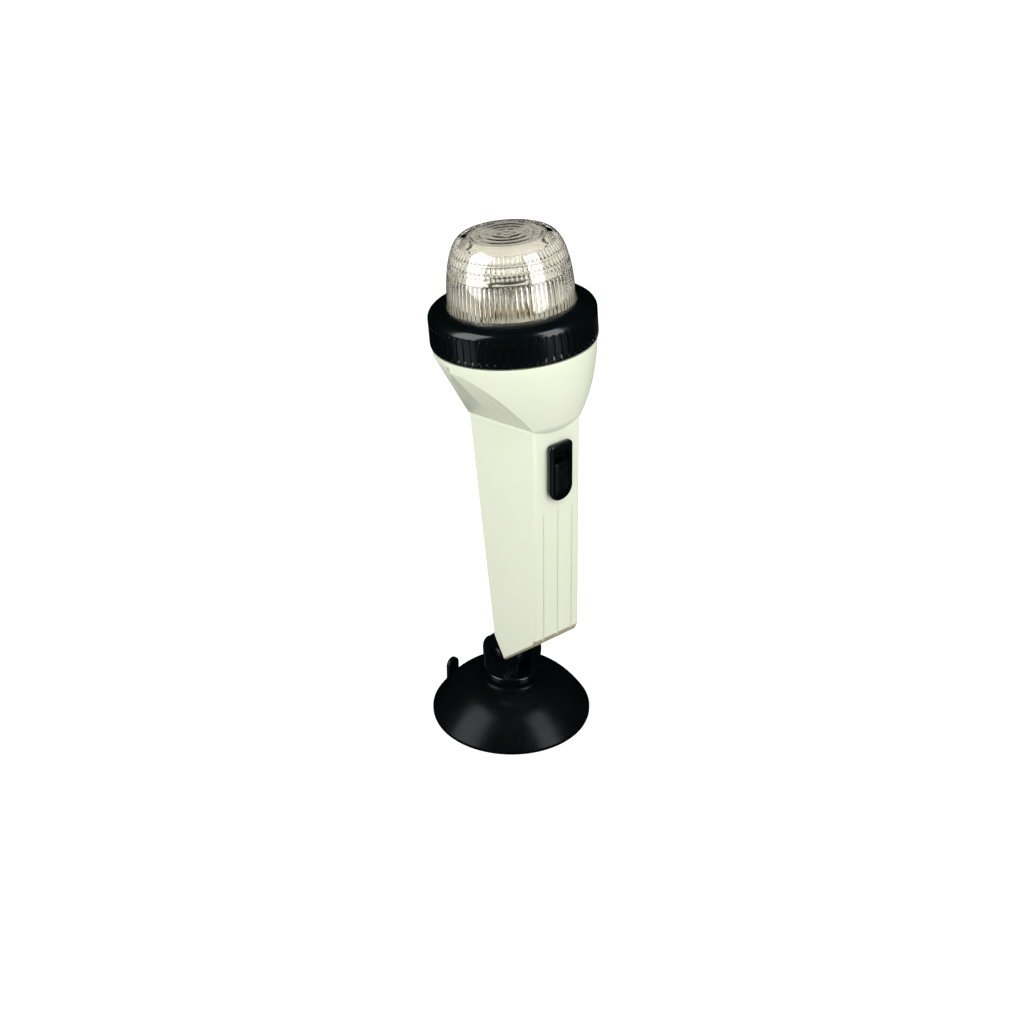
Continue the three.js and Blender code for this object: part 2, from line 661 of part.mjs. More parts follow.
// A convex outline with every side moved in by a distance
function inset(outline, distance) {
  const sides = outline.map(([y, z], i) => {
    const [nextY, nextZ] = outline[(i + 1) % outline.length];
    const length = Math.hypot(nextY - y, nextZ - z);
    const along = [(nextY - y) / length, (nextZ - z) / length];
    return { at: [y - along[1] * distance, z + along[0] * distance], along };
  });
  return sides.map((side, i) => {
    const before = sides[(i + sides.length - 1) % sides.length];
    const turn = before.along[0] * side.along[1] - before.along[1] * side.along[0];
    const gapY = side.at[0] - before.at[0];
    const gapZ = side.at[1] - before.at[1];
    const reach = (gapY * side.along[1] - gapZ * side.along[0]) / turn;
    return [before.at[0] + reach * before.along[0], before.at[1] + reach * before.along[1]];
  });
}

// The grip's outside: the outline carried across, with its four long edges rounded
function gripBlock() {
  const middle = (gripOutline[0][0] + creaseRear[0]) / 2;
  const points = [];
  for (const [back, height] of gripOutline) {
    const inward = back < middle ? 1 : -1;
    for (const angle of [0, 30, 60, 90].map(radians)) {
      const x = GRIP_WIDTH / 2 - GRIP_EDGE_RADIUS * (1 - Math.sin(angle));
      const y = back + inward * GRIP_EDGE_RADIUS * (1 - Math.cos(angle));
      points.push([x, y, height], [-x, y, height]);
    }
  }
  return hull(points);
}

// The wedge between the head's two flat sides, which rise from the creases
function sideWedge(halfWidth, top) {
  const far = 1.3 * HEAD_RADIUS;
  const points = [];
  for (const back of [-far, far]) {
    const crease = CREASE_LEVEL - (back - creaseFront[0]) * Math.tan(CREASE_SLOPE);
    for (const height of [crease - 0.4 * GRIP_WIDTH, top]) {
      const x = halfWidth + HEAD_SIDE_SLOPE * (height - crease);
      points.push([x, back, height], [-x, back, height]);
    }
  }
  return hull(points);
}

const HEAD_ROOT_RADIUS = Math.hypot(GRIP_WIDTH / 2, creaseFront[0]);
const HEAD_TAIL = 8; // the flare's root carried down inside the grip

// The flare: a bulging turned front between the side wedges, and a straight-sided rear
function headBlock() {
  const bandBottom = SHOULDER_LEVEL - HEAD_BAND;
  const pull = [
    (HEAD_ROOT_RADIUS + HEAD_RADIUS) / 2 + HEAD_BULGE,
    (CREASE_LEVEL + bandBottom) / 2,
  ];
  const flare = bezier([HEAD_ROOT_RADIUS, CREASE_LEVEL], pull, [HEAD_RADIUS, bandBottom], 6);
  const tail = HEAD_ROOT_RADIUS - HEAD_TAIL;
  const body = turned([
    [0, CREASE_LEVEL - HEAD_TAIL],
    [tail, CREASE_LEVEL - HEAD_TAIL],
    ...flare,
    [HEAD_RADIUS, SHOULDER_LEVEL],
    [0, SHOULDER_LEVEL],
  ]);
  const far = 2 * HEAD_RADIUS;
  const front = block([-far, far], [-far, 0], [0, SHOULDER_LEVEL + OVERRUN]);
  const bulge = shared(body, sideWedge(GRIP_WIDTH / 2, SHOULDER_LEVEL + OVERRUN), front);
  return joined(bulge, creaseToCircle(0, HEAD_RADIUS, bandBottom, SHOULDER_LEVEL));
}

// Straight walls from the crease's rectangle up to a circle, moved in by a wall
function creaseToCircle(wall, radius, bottom, top) {
  const half = GRIP_WIDTH / 2 - wall;
  const points = [];
  for (const x of [-half, half]) {
    points.push([x, creaseFront[0] + wall, creaseFront[1]], [x, creaseRear[0] - wall, creaseRear[1]]);
  }
  for (let i = 0; i < ROUND_SIDES; i += 1) {
    const angle = (2 * Math.PI * i) / ROUND_SIDES;
    const at = [radius * Math.cos(angle), radius * Math.sin(angle)];
    points.push([...at, bottom], [...at, top]);
  }
  return hull(points);
}

function headHollow() {
  const throat = NECK_BORE - LEDGE_WIDTH;
  const cone = creaseToCircle(GRIP_WALL, throat, SHOULDER_LEVEL - HEAD_BAND, LEDGE_LEVEL);
  return joined(cone, rod(NECK_BORE, LEDGE_LEVEL - 0.01, NECK_TOP + OVERRUN, ROUND_SIDES));
}

// The room for the cells, open into the head, and the smaller hollow of the foot under it
function gripHollow() {
  const half = GRIP_WIDTH / 2 - GRIP_WALL;
  const cells = slab(inset(gripOutline, GRIP_WALL), half);
  const far = 2 * HEAD_RADIUS;
  const above = block([-half, half], [-far, far], [TRAY_LEVEL, CREASE_LEVEL + OVERRUN]);
  const ledge = 2 * GRIP_WALL;
  const foot = cut(
    slab(inset(gripOutline, ledge), GRIP_WIDTH / 2 - ledge),
    block([-half, half], [-far, far], [TRAY_LEVEL + OVERRUN, SHOULDER_LEVEL]),
  );
  const bossDepth = PLATE_OUTER - LUG_SCREW_LENGTH - GRIP_WALL;
  const boss = block([-far, far], [bossDepth, 0], [-far, far]).applyMatrix4(heelFrame);
  const throatTop = CREASE_LEVEL + 2 * GRIP_WALL;
  const throat = block(
    [-half, half],
    [frontWall(CREASE_LEVEL) + 2 * GRIP_WALL, creaseRear[0] - GRIP_WALL],
    [REAR_CREASE_LEVEL - 3 * GRIP_WALL, throatTop],
  );
  return joined(shared(cells, above), cut(foot, boss), throat);
}

function lugPocket() {
  const margin = CLEARANCE;
  const pocket = block(
    [-PLATE_WIDTH / 2 - margin, PLATE_WIDTH / 2 + margin],
    [PLATE_INNER - margin, 0],
    [PLATE_BOTTOM - margin, PLATE_BOTTOM + PLATE_LENGTH + margin],
  );
  const holes = [-1, 1].map((side) => lugScrewShape(side, margin));
  return joined(pocket, ...holes).applyMatrix4(heelFrame);
}

function grooves() {
  const top = TRAY_LEVEL + GROOVE_TOP;
  return Array.from({ length: GROOVE_COUNT }, (_, i) =>
    grooveCutter((i - (GROOVE_COUNT - 1) / 2) * GROOVE_SPACING, top),
  );
}

// One groove in the lower front wall, open at the foot
function grooveCutter(x, top) {
  const deep = GROOVE_DEPTH;
  const half = GROOVE_WIDTH / 2;
  const bottom = toe[1] - 3 * FOOT_CHAMFER;
  const points = [];
  for (const [height, rise] of [[bottom, 0], [top, 0], [top + 2 * deep, deep]]) {
    const face = frontWall(height);
    points.push([x - half / 2, face + deep - rise, height], [x + half / 2, face + deep - rise, height]);
    points.push([x - half, face - OVERRUN, height], [x + half, face - OVERRUN, height]);
  }
  return hull(points);
}

function threadSection(margin) {
  const root = 0.75 + margin;
  const tip = 0.35 + margin;
  const outer = RING_BORE + OVERRUN;
  const inner = NECK_RADIUS - THREAD_DEPTH - 1.5 * margin;
  return [[inner, -tip], [outer, -root - 0.3], [outer, root + 0.3], [inner, tip]];
}

function neck() {
  const collar = washer(
    NECK_BORE - LEDGE_WIDTH,
    NECK_RADIUS,
    SHOULDER_LEVEL - OVERRUN,
    NECK_TOP,
  );
  const turns = (NECK_TOP - THREAD_START) / THREAD_PITCH + 1;
  const groove = helicalSweep(threadSection(CLEARANCE), -0.05, turns, THREAD_PITCH);
  return cut(collar, groove.translate(0, 0, THREAD_START));
}

function gripCase() {
  const outside = joined(gripBlock(), headBlock(), neck());
  const slot = panel(roundedSlot(SKIRT_WIDTH + 2 * CLEARANCE, SKIRT_LENGTH + 2 * CLEARANCE), -5, 5);
  return cut(
    outside,
    headHollow(),
    gripHollow(),
    lugPocket(),
    slot.applyMatrix4(switchFrame),
    ...grooves(),
  );
}

// Screw ring
function screwRing() {
  const profile = [
    [RING_BORE, RING_BOTTOM],
    [RING_RADIUS - RING_CHAMFER / 2, RING_BOTTOM],
    [RING_RADIUS + RIB_DEPTH, RING_BOTTOM + RING_CHAMFER + RIB_DEPTH],
    [RING_RADIUS + RIB_DEPTH, RING_TOP - RING_SHOULDER_HEIGHT],
    ...ringShoulder(),
    [RING_MOUTH, RING_TOP],
    [RING_MOUTH, RING_TOP - RING_LIP],
    [RING_BORE, RING_TOP - RING_LIP],
  ];
  const body = turned(profile, RING_RIBS);
  const ribbed = shared(body, ringRibs());
  const ridge = helicalSweep(threadSection(0), 0, RING_TURNS, THREAD_PITCH);
  return joined(ribbed, ridge.translate(0, 0, THREAD_START));
}

function ringShoulder() {
  const foot = [RING_RADIUS, RING_TOP - RING_SHOULDER_HEIGHT + RIB_DEPTH];
  return bezier(foot, [RING_RADIUS - 0.8, RING_TOP - 0.9], [RING_MOUTH + 0.8, RING_TOP], 4);
}

function ringRibs() {
  const outline = Array.from({ length: 2 * RING_RIBS }, (_, i) => {
    const angle = (Math.PI * i) / RING_RIBS;
    const radius = RING_RADIUS - (i % 2) * RIB_DEPTH;
    return new THREE.Vector2(radius * Math.cos(angle), radius * Math.sin(angle));
  });
  return extruded(new THREE.Shape(outline), RING_BOTTOM - OVERRUN, RING_TOP + OVERRUN);
}

// Lens
function lensCurve(radius, bottom, topRadius, top, steps) {
  const curve = new THREE.CubicBezierCurve(
    new THREE.Vector2(radius, bottom),
    new THREE.Vector2(radius, bottom + 0.48 * (top - bottom)),
    new THREE.Vector2(0.9 * radius, top - 0.5),
    new THREE.Vector2(topRadius, top),
  );
  return curve.getPoints(steps).map((point) => [point.x, point.y]);
}

// Concentric steps in the flat top, from the rim to the centre button
function topSteps(topRadius, top) {
  const pitch = topRadius / (LENS_STEPS + 0.5);
  const points = [];
  for (let i = 1; i <= LENS_STEPS; i += 1) {
    const radius = topRadius - i * pitch;
    points.push([radius + 0.4, top - LENS_STEP_DEPTH], [radius, top]);
  }
  return points;
}

function lens() {
  const flangeRadius = RING_BORE - BORE_CLEARANCE;
  const innerRadius = LENS_RADIUS - LENS_WALL;
  const innerTop = LENS_TOP - LENS_WALL;
  const inside = lensCurve(innerRadius, RING_TOP, LENS_TOP_RADIUS - 1, innerTop, 5);
  return turned([
    [0, innerTop],
    ...inside.reverse(),
    [innerRadius, FLANGE_BOTTOM],
    [flangeRadius, FLANGE_BOTTOM],
    [flangeRadius, FLANGE_TOP],
    [LENS_RADIUS, FLANGE_TOP],
    ...lensCurve(LENS_RADIUS, RING_TOP, LENS_TOP_RADIUS, LENS_TOP, 7),
    ...topSteps(LENS_TOP_RADIUS, LENS_TOP),
    [0, LENS_TOP],
  ]);
}

function lensGasket() {
  const middle = (NECK_BORE + NECK_RADIUS) / 2;
  const radius = GASKET_THICKNESS / 2;
  const level = GASKET_BOTTOM + radius;
  const profile = Array.from({ length: GASKET_SIDES }, (_, i) => {
    const angle = (2 * Math.PI * i) / GASKET_SIDES;
    const reach = radius / Math.cos(Math.PI / GASKET_SIDES);
    return [middle + reach * Math.cos(angle), level + reach * Math.sin(angle)];
  });
  return turned(profile);
}

// Lamp
function bulbCarrier() {
  const tube = SOCKET_RADIUS + CLEARANCE;
  const plate = turned([
    [tube, CARRIER_BOTTOM - 6],
    [tube + 1.6, CARRIER_BOTTOM - 6],
    [tube + 1.6, CARRIER_BOTTOM],
    [NECK_BORE - CLEARANCE, CARRIER_BOTTOM],
    [NECK_BORE - CLEARANCE, CARRIER_TOP],
    [tube + 4.4, CARRIER_TOP],
    [tube + 1.6, CARRIER_TOP + 2.4],
    [tube, CARRIER_TOP + 2.4],
  ]);
  const holes = [-1, 1].map((side) => {
    const hole = rod(POST_RADIUS + CLEARANCE, CARRIER_BOTTOM - OVERRUN, CARRIER_TOP + 9, SMALL_SIDES);
    return hole.translate(side * POST_SPREAD, 0, 0);
  });
  const wireHole = rod(WIRE_RADIUS + CLEARANCE, CARRIER_BOTTOM - OVERRUN, CARRIER_TOP + 9, SMALL_SIDES);
  return cut(plate, ...holes, wireHole.translate(0, WIRE_HOLE_BACK, 0));
}

const POST_RADIUS = 0.8;
const POST_SPREAD = SHIELD_RADIUS + 2.6;
const WIRE_HOLE_BACK = 16;
const SOCKET_BOTTOM = CARRIER_BOTTOM - 5;
const SOCKET_TOP = SOCKET_BOTTOM + SOCKET_HEIGHT;
const CAP_BOTTOM = SOCKET_BOTTOM + 3.4;
const CAP_TOP = CAP_BOTTOM + BULB_CAP_HEIGHT;
const BULB_MIDDLE = CAP_TOP + 3.6;

function bulbSocket() {
  const inner = SOCKET_RADIUS - SOCKET_WALL;
  return turned(
    [
      [inner, SOCKET_BOTTOM],
      [SOCKET_RADIUS, SOCKET_BOTTOM],
      [SOCKET_RADIUS, CARRIER_TOP + 2.4 + CLEARANCE],
      [SOCKET_RADIUS + 1, CARRIER_TOP + 2.4 + CLEARANCE],
      [SOCKET_RADIUS + 1, SOCKET_TOP],
      [inner, SOCKET_TOP],
    ],
    MEDIUM_SIDES,
  );
}

function centreContact() {
  const top = CAP_BOTTOM - CLEARANCE;
  return turned(
    [
      [0, SOCKET_BOTTOM + 0.4],
      [SOCKET_RADIUS - SOCKET_WALL - CLEARANCE, SOCKET_BOTTOM + 0.4],
      [SOCKET_RADIUS - SOCKET_WALL - CLEARANCE, SOCKET_BOTTOM + 1.4],
      [1.6, SOCKET_BOTTOM + 1.4],
      [1.6, top],
      [0, top],
    ],
    SMALL_SIDES,
  );
}

function bulbCap() {
  const neckRadius = BULB_CAP_RADIUS - 1.1;
  return turned(
    [
      [0, CAP_BOTTOM],
      [2, CAP_BOTTOM],
      [BULB_CAP_RADIUS, CAP_BOTTOM + 1.6],
      [BULB_CAP_RADIUS, CAP_TOP],
      [neckRadius, CAP_TOP],
      [neckRadius, CAP_TOP - 1.4],
      [0, CAP_TOP - 1.4],
    ],
    MEDIUM_SIDES,
  );
}

// The bulb's envelope, open at the neck that stands in the cap
function bulbGlass() {
  const neckRadius = BULB_CAP_RADIUS - 1.4;
  const bottom = CAP_TOP - 1.1;
  const inside = globeArc(BULB_RADIUS - GLASS_WALL, neckRadius - GLASS_WALL);
  return turned(
    [
      ...inside.reverse(),
      [neckRadius - GLASS_WALL, bottom],
      [neckRadius, bottom],
      ...globeArc(BULB_RADIUS, neckRadius),
    ],
    SMALL_SIDES,
  );
}

// From the neck up round the globe to its top on the axis
function globeArc(radius, neckRadius) {
  const start = -Math.acos(neckRadius / radius);
  const steps = 5;
  return Array.from({ length: steps + 1 }, (_, i) => {
    const angle = start + ((Math.PI / 2 - start) * i) / steps;
    return [i < steps ? radius * Math.cos(angle) : 0, BULB_MIDDLE + radius * Math.sin(angle)];
  });
}

function bulbFilament() {
  const foot = CAP_TOP - 1;
  const top = BULB_MIDDLE + 0.8;
  return wireThrough(
    [[-1.1, 0, foot], [-1.3, 0, top - 1], [-0.7, 0, top], [0.7, 0, top], [1.3, 0, top - 1], [1.1, 0, foot]],
    0.22,
    14,
  );
}

// A dark disc over the bulb, on two posts
function glareShield() {
  const bottom = CARRIER_TOP + SHIELD_HEIGHT - SHIELD_THICKNESS;
  const top = bottom + SHIELD_THICKNESS;
  const disc = rod(SHIELD_RADIUS, bottom, top, MEDIUM_SIDES);
  const bar = block([-POST_SPREAD, POST_SPREAD], [-1.2, 1.2], [bottom, top]);
  const posts = [-1, 1].map((side) =>
    rod(POST_RADIUS, CARRIER_BOTTOM, bottom + 0.5, SMALL_SIDES).translate(side * POST_SPREAD, 0, 0),
  );
  return joined(disc, bar, ...posts);
}

// Cells and tray
const TRAY_MIDDLE = LAMP_SETFORWARD;
const columns = [TRAY_MIDDLE - CELL_PITCH / 2, TRAY_MIDDLE + CELL_PITCH / 2];

function cell(column, row) {
  const radius = CELL_DIAMETER / 2;
  const nub = 1.2;
  const nubRadius = 2.7;
  const chamfer = 0.5;
  const can = CELL_LENGTH - nub - CLEARANCE;
  const profile = [
    [0, 0],
    [radius, 0],
    [radius, can - chamfer],
    [radius - chamfer, can],
    [nubRadius, can],
    [nubRadius, can + nub],
    [0, can + nub],
  ];
  const upright = turned(profile, MEDIUM_SIDES);
  if (column === 1) {
    upright.rotateX(Math.PI).translate(0, 0, can + nub);
  }
  return upright.translate(0, columns[column], CELL_BOTTOM + row * (CELL_LENGTH + CLEARANCE));
}

function batteryTray() {
  const y = [TRAY_MIDDLE - TRAY_DEPTH / 2, TRAY_MIDDLE + TRAY_DEPTH / 2];
  const outer = TRAY_SIDE + TRAY_WALL;
  const top = TRAY_TOP_BOTTOM + TRAY_WALL;
  const side = block([-outer, -TRAY_SIDE], y, [TRAY_BOTTOM, top]);
  const floor = block([-outer, outer], y, [TRAY_BOTTOM, TRAY_BOTTOM + TRAY_WALL]);
  const lid = block([-outer, outer], y, [TRAY_TOP_BOTTOM, top]);
  const finHalf = 0.5;
  const finDepth = 1.6;
  const fin = block(
    [-TRAY_SIDE - TRAY_WALL / 2, -TRAY_SIDE + finDepth],
    [TRAY_MIDDLE - finHalf, TRAY_MIDDLE + finHalf],
    [TRAY_BOTTOM, top],
  );
  return joined(side, floor, lid, fin);
}

function bottomBridge() {
  const margin = 2;
  const half = CELL_DIAMETER / 2 - margin;
  const bottom = TRAY_BOTTOM + TRAY_WALL + CLEARANCE;
  const y = [columns[0] - half, columns[1] + half];
  return block([-half, half], y, [bottom, bottom + CONTACT_THICKNESS]);
}

class SpringCurve extends THREE.Curve {
  constructor(from, to, height, turns) {
    super();
    Object.assign(this, { from, to, height, turns });
  }

  getPoint(t, target = new THREE.Vector3()) {
    const angle = 2 * Math.PI * this.turns * t;
    const radius = THREE.MathUtils.lerp(this.from, this.to, t);
    return target.set(radius * Math.cos(angle), radius * Math.sin(angle), this.height * t);
  }
}

function cellSpring(column) {
  const wire = 0.4;
  const turns = 2.5;
  const inner = 2.2;
  const outer = 4.8;
  const curve = new SpringCurve(inner, outer, SPRING_LENGTH - 2 * wire, turns);
  const bottom = CELLS_TOP + CLEARANCE + wire;
  return wireAlong(curve, wire, 28, 4).translate(0, columns[column], bottom);
}

function topContact(column) {
  const margin = 1;
  const half = CELL_DIAMETER / 2 - margin;
  const z = [TOP_CONTACT_BOTTOM, TOP_CONTACT_BOTTOM + CONTACT_THICKNESS];
  return block([-half, half], [columns[column] - half, columns[column] + half], z);
}

// Slide switch, in the frame of the front wall: -Y is outward, +Z is up the wall
const SKIRT_WIDTH = STEM_WIDTH + 2 * (CLEARANCE + SKIRT_WALL);
const SKIRT_LENGTH = STEM_LENGTH + SWITCH_TRAVEL + 2 * (CLEARANCE + SKIRT_WALL);
const PAD_BOTTOM = -SWITCH_LENGTH / 2 + 3;
const STEM_BOTTOM = -(STEM_LENGTH + SWITCH_TRAVEL) / 2;
const STEM_REACH = 2.2; // past the case's wall
const RECESS_FLOOR = 0.7;
const BOX_FRONT = GRIP_WALL + CLEARANCE;
const BOX_HALF_WIDTH = SKIRT_WIDTH / 2 + 1.6;
const BOX_END = SKIRT_LENGTH / 2 + 2.4;
const BOX_BOTTOM_LEVEL = SWITCH_LEVEL - BOX_END;
const ROOM_TO_CELLS =
  (columns[0] - CELL_DIAMETER / 2 - frontWall(BOX_BOTTOM_LEVEL)) * Math.cos(FRONT_SLOPE);
const BOX_DEPTH = Math.min(SWITCH_BOX_DEPTH, ROOM_TO_CELLS - BOX_FRONT - CLEARANCE);

function roundedSlot(width, length) {
  const corner = 1;
  const half = width / 2;
  const straight = length / 2 - corner;
  const middle = half - corner;
  const shape = new THREE.Shape();
  shape.moveTo(-middle, -length / 2);
  shape.absarc(middle, -straight, corner, -Math.PI / 2, 0);
  shape.absarc(middle, straight, corner, 0, Math.PI / 2);
  shape.absarc(-middle, straight, corner, Math.PI / 2, Math.PI);
  shape.absarc(-middle, -straight, corner, Math.PI, 1.5 * Math.PI);
  return shape;
}

function bezelOutline() {
  const half = SWITCH_WIDTH / 2;
  const end = SWITCH_LENGTH / 2;
  const shape = new THREE.Shape();
  shape.moveTo(half, -end + half);
  shape.absarc(half - SWITCH_CORNER, end - SWITCH_CORNER, SWITCH_CORNER, 0, Math.PI / 2);
  shape.absarc(-half + SWITCH_CORNER, end - SWITCH_CORNER, SWITCH_CORNER, Math.PI / 2, Math.PI);
  shape.absarc(0, -end + half, half, Math.PI, 2 * Math.PI);
  return shape;
}

function switchBezel() {
  const floor = -CLEARANCE - RECESS_FLOOR;
  const plate = panel(bezelOutline(), -SWITCH_PROUD, -CLEARANCE);
  const skirt = panel(roundedSlot(SKIRT_WIDTH, SKIRT_LENGTH), -CLEARANCE - 0.3, GRIP_WALL);
  const recessTop = PAD_BOTTOM + PAD_LENGTH + SWITCH_TRAVEL + CLEARANCE;
  const recess = block(
    [-PAD_WIDTH / 2 - CLEARANCE, PAD_WIDTH / 2 + CLEARANCE],
    [-SWITCH_PROUD - OVERRUN, floor],
    [PAD_BOTTOM - CLEARANCE, recessTop],
  );
  const slot = block(
    [-STEM_WIDTH / 2 - CLEARANCE, STEM_WIDTH / 2 + CLEARANCE],
    [-SWITCH_PROUD, GRIP_WALL + OVERRUN],
    [STEM_BOTTOM - CLEARANCE, STEM_BOTTOM + STEM_LENGTH + SWITCH_TRAVEL + CLEARANCE],
  );
  return cut(joined(plate, skirt), recess, slot);
}

function switchSlider() {
  const outer = -SWITCH_PROUD - 0.4;
  const half = PAD_WIDTH / 2;
  const pad = block([-half, half], [outer, outer + PAD_DEPTH], [PAD_BOTTOM, PAD_BOTTOM + PAD_LENGTH]);
  const stem = block(
    [-STEM_WIDTH / 2, STEM_WIDTH / 2],
    [outer + PAD_DEPTH - 0.2, BOX_FRONT + STEM_REACH],
    [STEM_BOTTOM, STEM_BOTTOM + STEM_LENGTH],
  );
  const spacing = 2.2;
  const halfGroove = 0.4;
  const finger = [-2, -1, 0, 1, 2].map((step) => {
    const z = PAD_BOTTOM + PAD_LENGTH / 2 + step * spacing;
    const y = [outer - OVERRUN, outer + 0.5];
    return block([-half - OVERRUN, half + OVERRUN], y, [z - halfGroove, z + halfGroove]);
  });
  return cut(joined(pad, stem), ...finger);
}

function switchBox() {
  const half = BOX_HALF_WIDTH;
  const back = BOX_FRONT + BOX_DEPTH;
  const wall = SWITCH_BOX_WALL;
  const body = block([-half, half], [BOX_FRONT, back], [-BOX_END, BOX_END]);
  const well = block(
    [-half + wall, half - wall],
    [BOX_FRONT - OVERRUN, back - wall],
    [-BOX_END + wall, BOX_END - wall],
  );
  return cut(body, well);
}

function switchContact() {
  const front = BOX_FRONT + STEM_REACH + CLEARANCE;
  const half = 2.4;
  const end = SKIRT_LENGTH / 2 + 0.4;
  return block([-half, half], [front, front + CONTACT_THICKNESS], [-end, end]);
}

// Wires, in the frame of the lamp axis
function wires() {
  const boxBack = frontWall(SWITCH_LEVEL) + BOX_FRONT + CLEARANCE + BOX_DEPTH;
  const boxTop = SWITCH_LEVEL + BOX_END + 2 * CLEARANCE;
  const lidTop = TRAY_TOP_BOTTOM + TRAY_WALL + CLEARANCE + WIRE_RADIUS;
  const socketSide = SOCKET_RADIUS + WIRE_RADIUS + 2 * CLEARANCE + 1.6;
  const under = CARRIER_BOTTOM - 4;
  const wireFront = boxBack - 3;
  return {
    switch_wire: [
      [-3, wireFront, boxTop + WIRE_RADIUS],
      [-3, wireFront - 0.5, boxTop + 8],
      [-3, wireFront - 1, lidTop],
      [-2, columns[0] - 4, lidTop + 3],
      [0, columns[0], lidTop],
    ],
    lamp_wire: [
      [3, wireFront, boxTop + WIRE_RADIUS],
      [3.5, wireFront - 0.5, boxTop + 8],
      [4, wireFront - 1, lidTop + 4],
      [4, -socketSide - 3, under - 8],
      [2, -socketSide, under],
      [0, -socketSide, under + 2],
    ],
    return_wire: [
      [0, columns[1], lidTop],
      [2, columns[1] + 1, lidTop + 4],
      [2, socketSide + 3, under - 7],
      [1, socketSide, under],
      [0, socketSide, under + 2],
    ],
  };
}

// Assembly
function placed(group, position, rotationX, ...children) {
  group.position.set(...position);
  group.rotation.x = rotationX;
  group.add(...children);
  return group;
}

function cupGroup() {
  const group = new THREE.Group();
  group.add(
    piece("suction_cup", suctionCup(), "rubber"),
    piece("cup_insert", cupInsert(), "steel"),
    piece("swivel_screw", swivelScrew(), "steel"),
    piece("swivel_washer", swivelWasher(), "whitePlastic"),
    piece("fork", fork(), "blackPlastic"),
  );
  return group;
}

function hingeGroup() {
  return placed(
    new THREE.Group(),
    [0, 0, PIVOT_HEIGHT],
    0,
    piece("tilt_bolt", tiltBolt(), "steel"),
    piece("tilt_washer_left", tiltWasher(-1), "steel"),
    piece("tilt_washer_right", tiltWasher(1), "steel"),
    piece("tilt_nut", tiltNut(), "steel"),
  );
}

function lugGroup() {
  return placed(
    new THREE.Group(),
    [0, LAMP_OFFSET, 0],
    -HEEL_SLOPE,
    piece("hinge_lug", hingeLug(), "blackPlastic"),
    piece("lug_screw_left", lugScrew(-1), "steel"),
    piece("lug_screw_right", lugScrew(1), "steel"),
  );
}

function switchGroup() {
  return placed(
    new THREE.Group(),
    [0, frontWall(SWITCH_LEVEL), SWITCH_LEVEL],
    FRONT_SLOPE,
    piece("switch_bezel", switchBezel(), "blackPlastic"),
    piece("switch_slider", switchSlider(), "blackPlastic"),
    piece("switch_box", switchBox(), "blackPlastic"),
    piece("switch_contact", switchContact(), "brass"),
  );
}

function batteryGroup() {
  const group = new THREE.Group();
  group.add(
    piece("battery_tray", batteryTray(), "whitePlastic"),
    piece("bottom_bridge", bottomBridge(), "steel"),
  );
  [0, 1].forEach((column) => {
    const place = ["front", "rear"][column];
    group.add(
      piece(`battery_${place}_lower`, cell(column, 0), "cellJacket"),
      piece(`battery_${place}_upper`, cell(column, 1), "cellJacket"),
      piece(`battery_spring_${place}`, cellSpring(column), "steel"),
      piece(`top_contact_${place}`, topContact(column), "brass"),
    );
  });
  return group;
}

function lampGroup() {
  const group = new THREE.Group();
  group.add(
    piece("bulb_carrier", bulbCarrier(), "whitePlastic"),
    piece("bulb_socket", bulbSocket(), "brass"),
    piece("centre_contact", centreContact(), "brass"),
    piece("bulb_cap", bulbCap(), "brass"),
    piece("bulb_glass", bulbGlass(), "glass"),
    piece("bulb_filament", bulbFilament(), "tungsten"),
    piece("glare_shield", glareShield(), "blackPlastic"),
  );
  const finishes = { switch_wire: "redWire", lamp_wire: "redWire", return_wire: "blackWire" };
  for (const [name, points] of Object.entries(wires())) {
    group.add(piece(name, wireThrough(points, WIRE_RADIUS, 14), finishes[name]));
  }
  return group;
}

function lightGroup() {
  const lamp = placed(
    new THREE.Group(),
    [0, -LAMP_OFFSET, 0],
    0,
    piece("grip_case", gripCase(), "ivoryPlastic"),
    piece("screw_ring", screwRing(), "blackPlastic"),
    piece("lens", lens(), "clearPlastic"),
    piece("lens_gasket", lensGasket(), "rubber"),
    lugGroup(),
    switchGroup(),
    batteryGroup(),
    lampGroup(),
  );
  return placed(new THREE.Group(), [0, 0, PIVOT_HEIGHT], -LEAN, lamp);
}

const sternLight = new THREE.Group();
sternLight.add(cupGroup(), hingeGroup(), lightGroup());

export default sternLight;
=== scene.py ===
"""The looks of a portable stern light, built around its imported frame.

Each sub-assembly is a class that makes fine meshes where the frame says and dresses them.
Meshes are made in local frames that are in millimetres and are placed in the row's frame, in metres.
The lamp frame has its Z along the leaning lamp axis, with Z 0 level with the hinge and -Y to the front.
"""

import json
import logging
import math
from dataclasses import dataclass
from enum import Enum
from typing import Callable, Iterable, Optional, Sequence

import bmesh
import bpy
from mathutils import Matrix, Vector


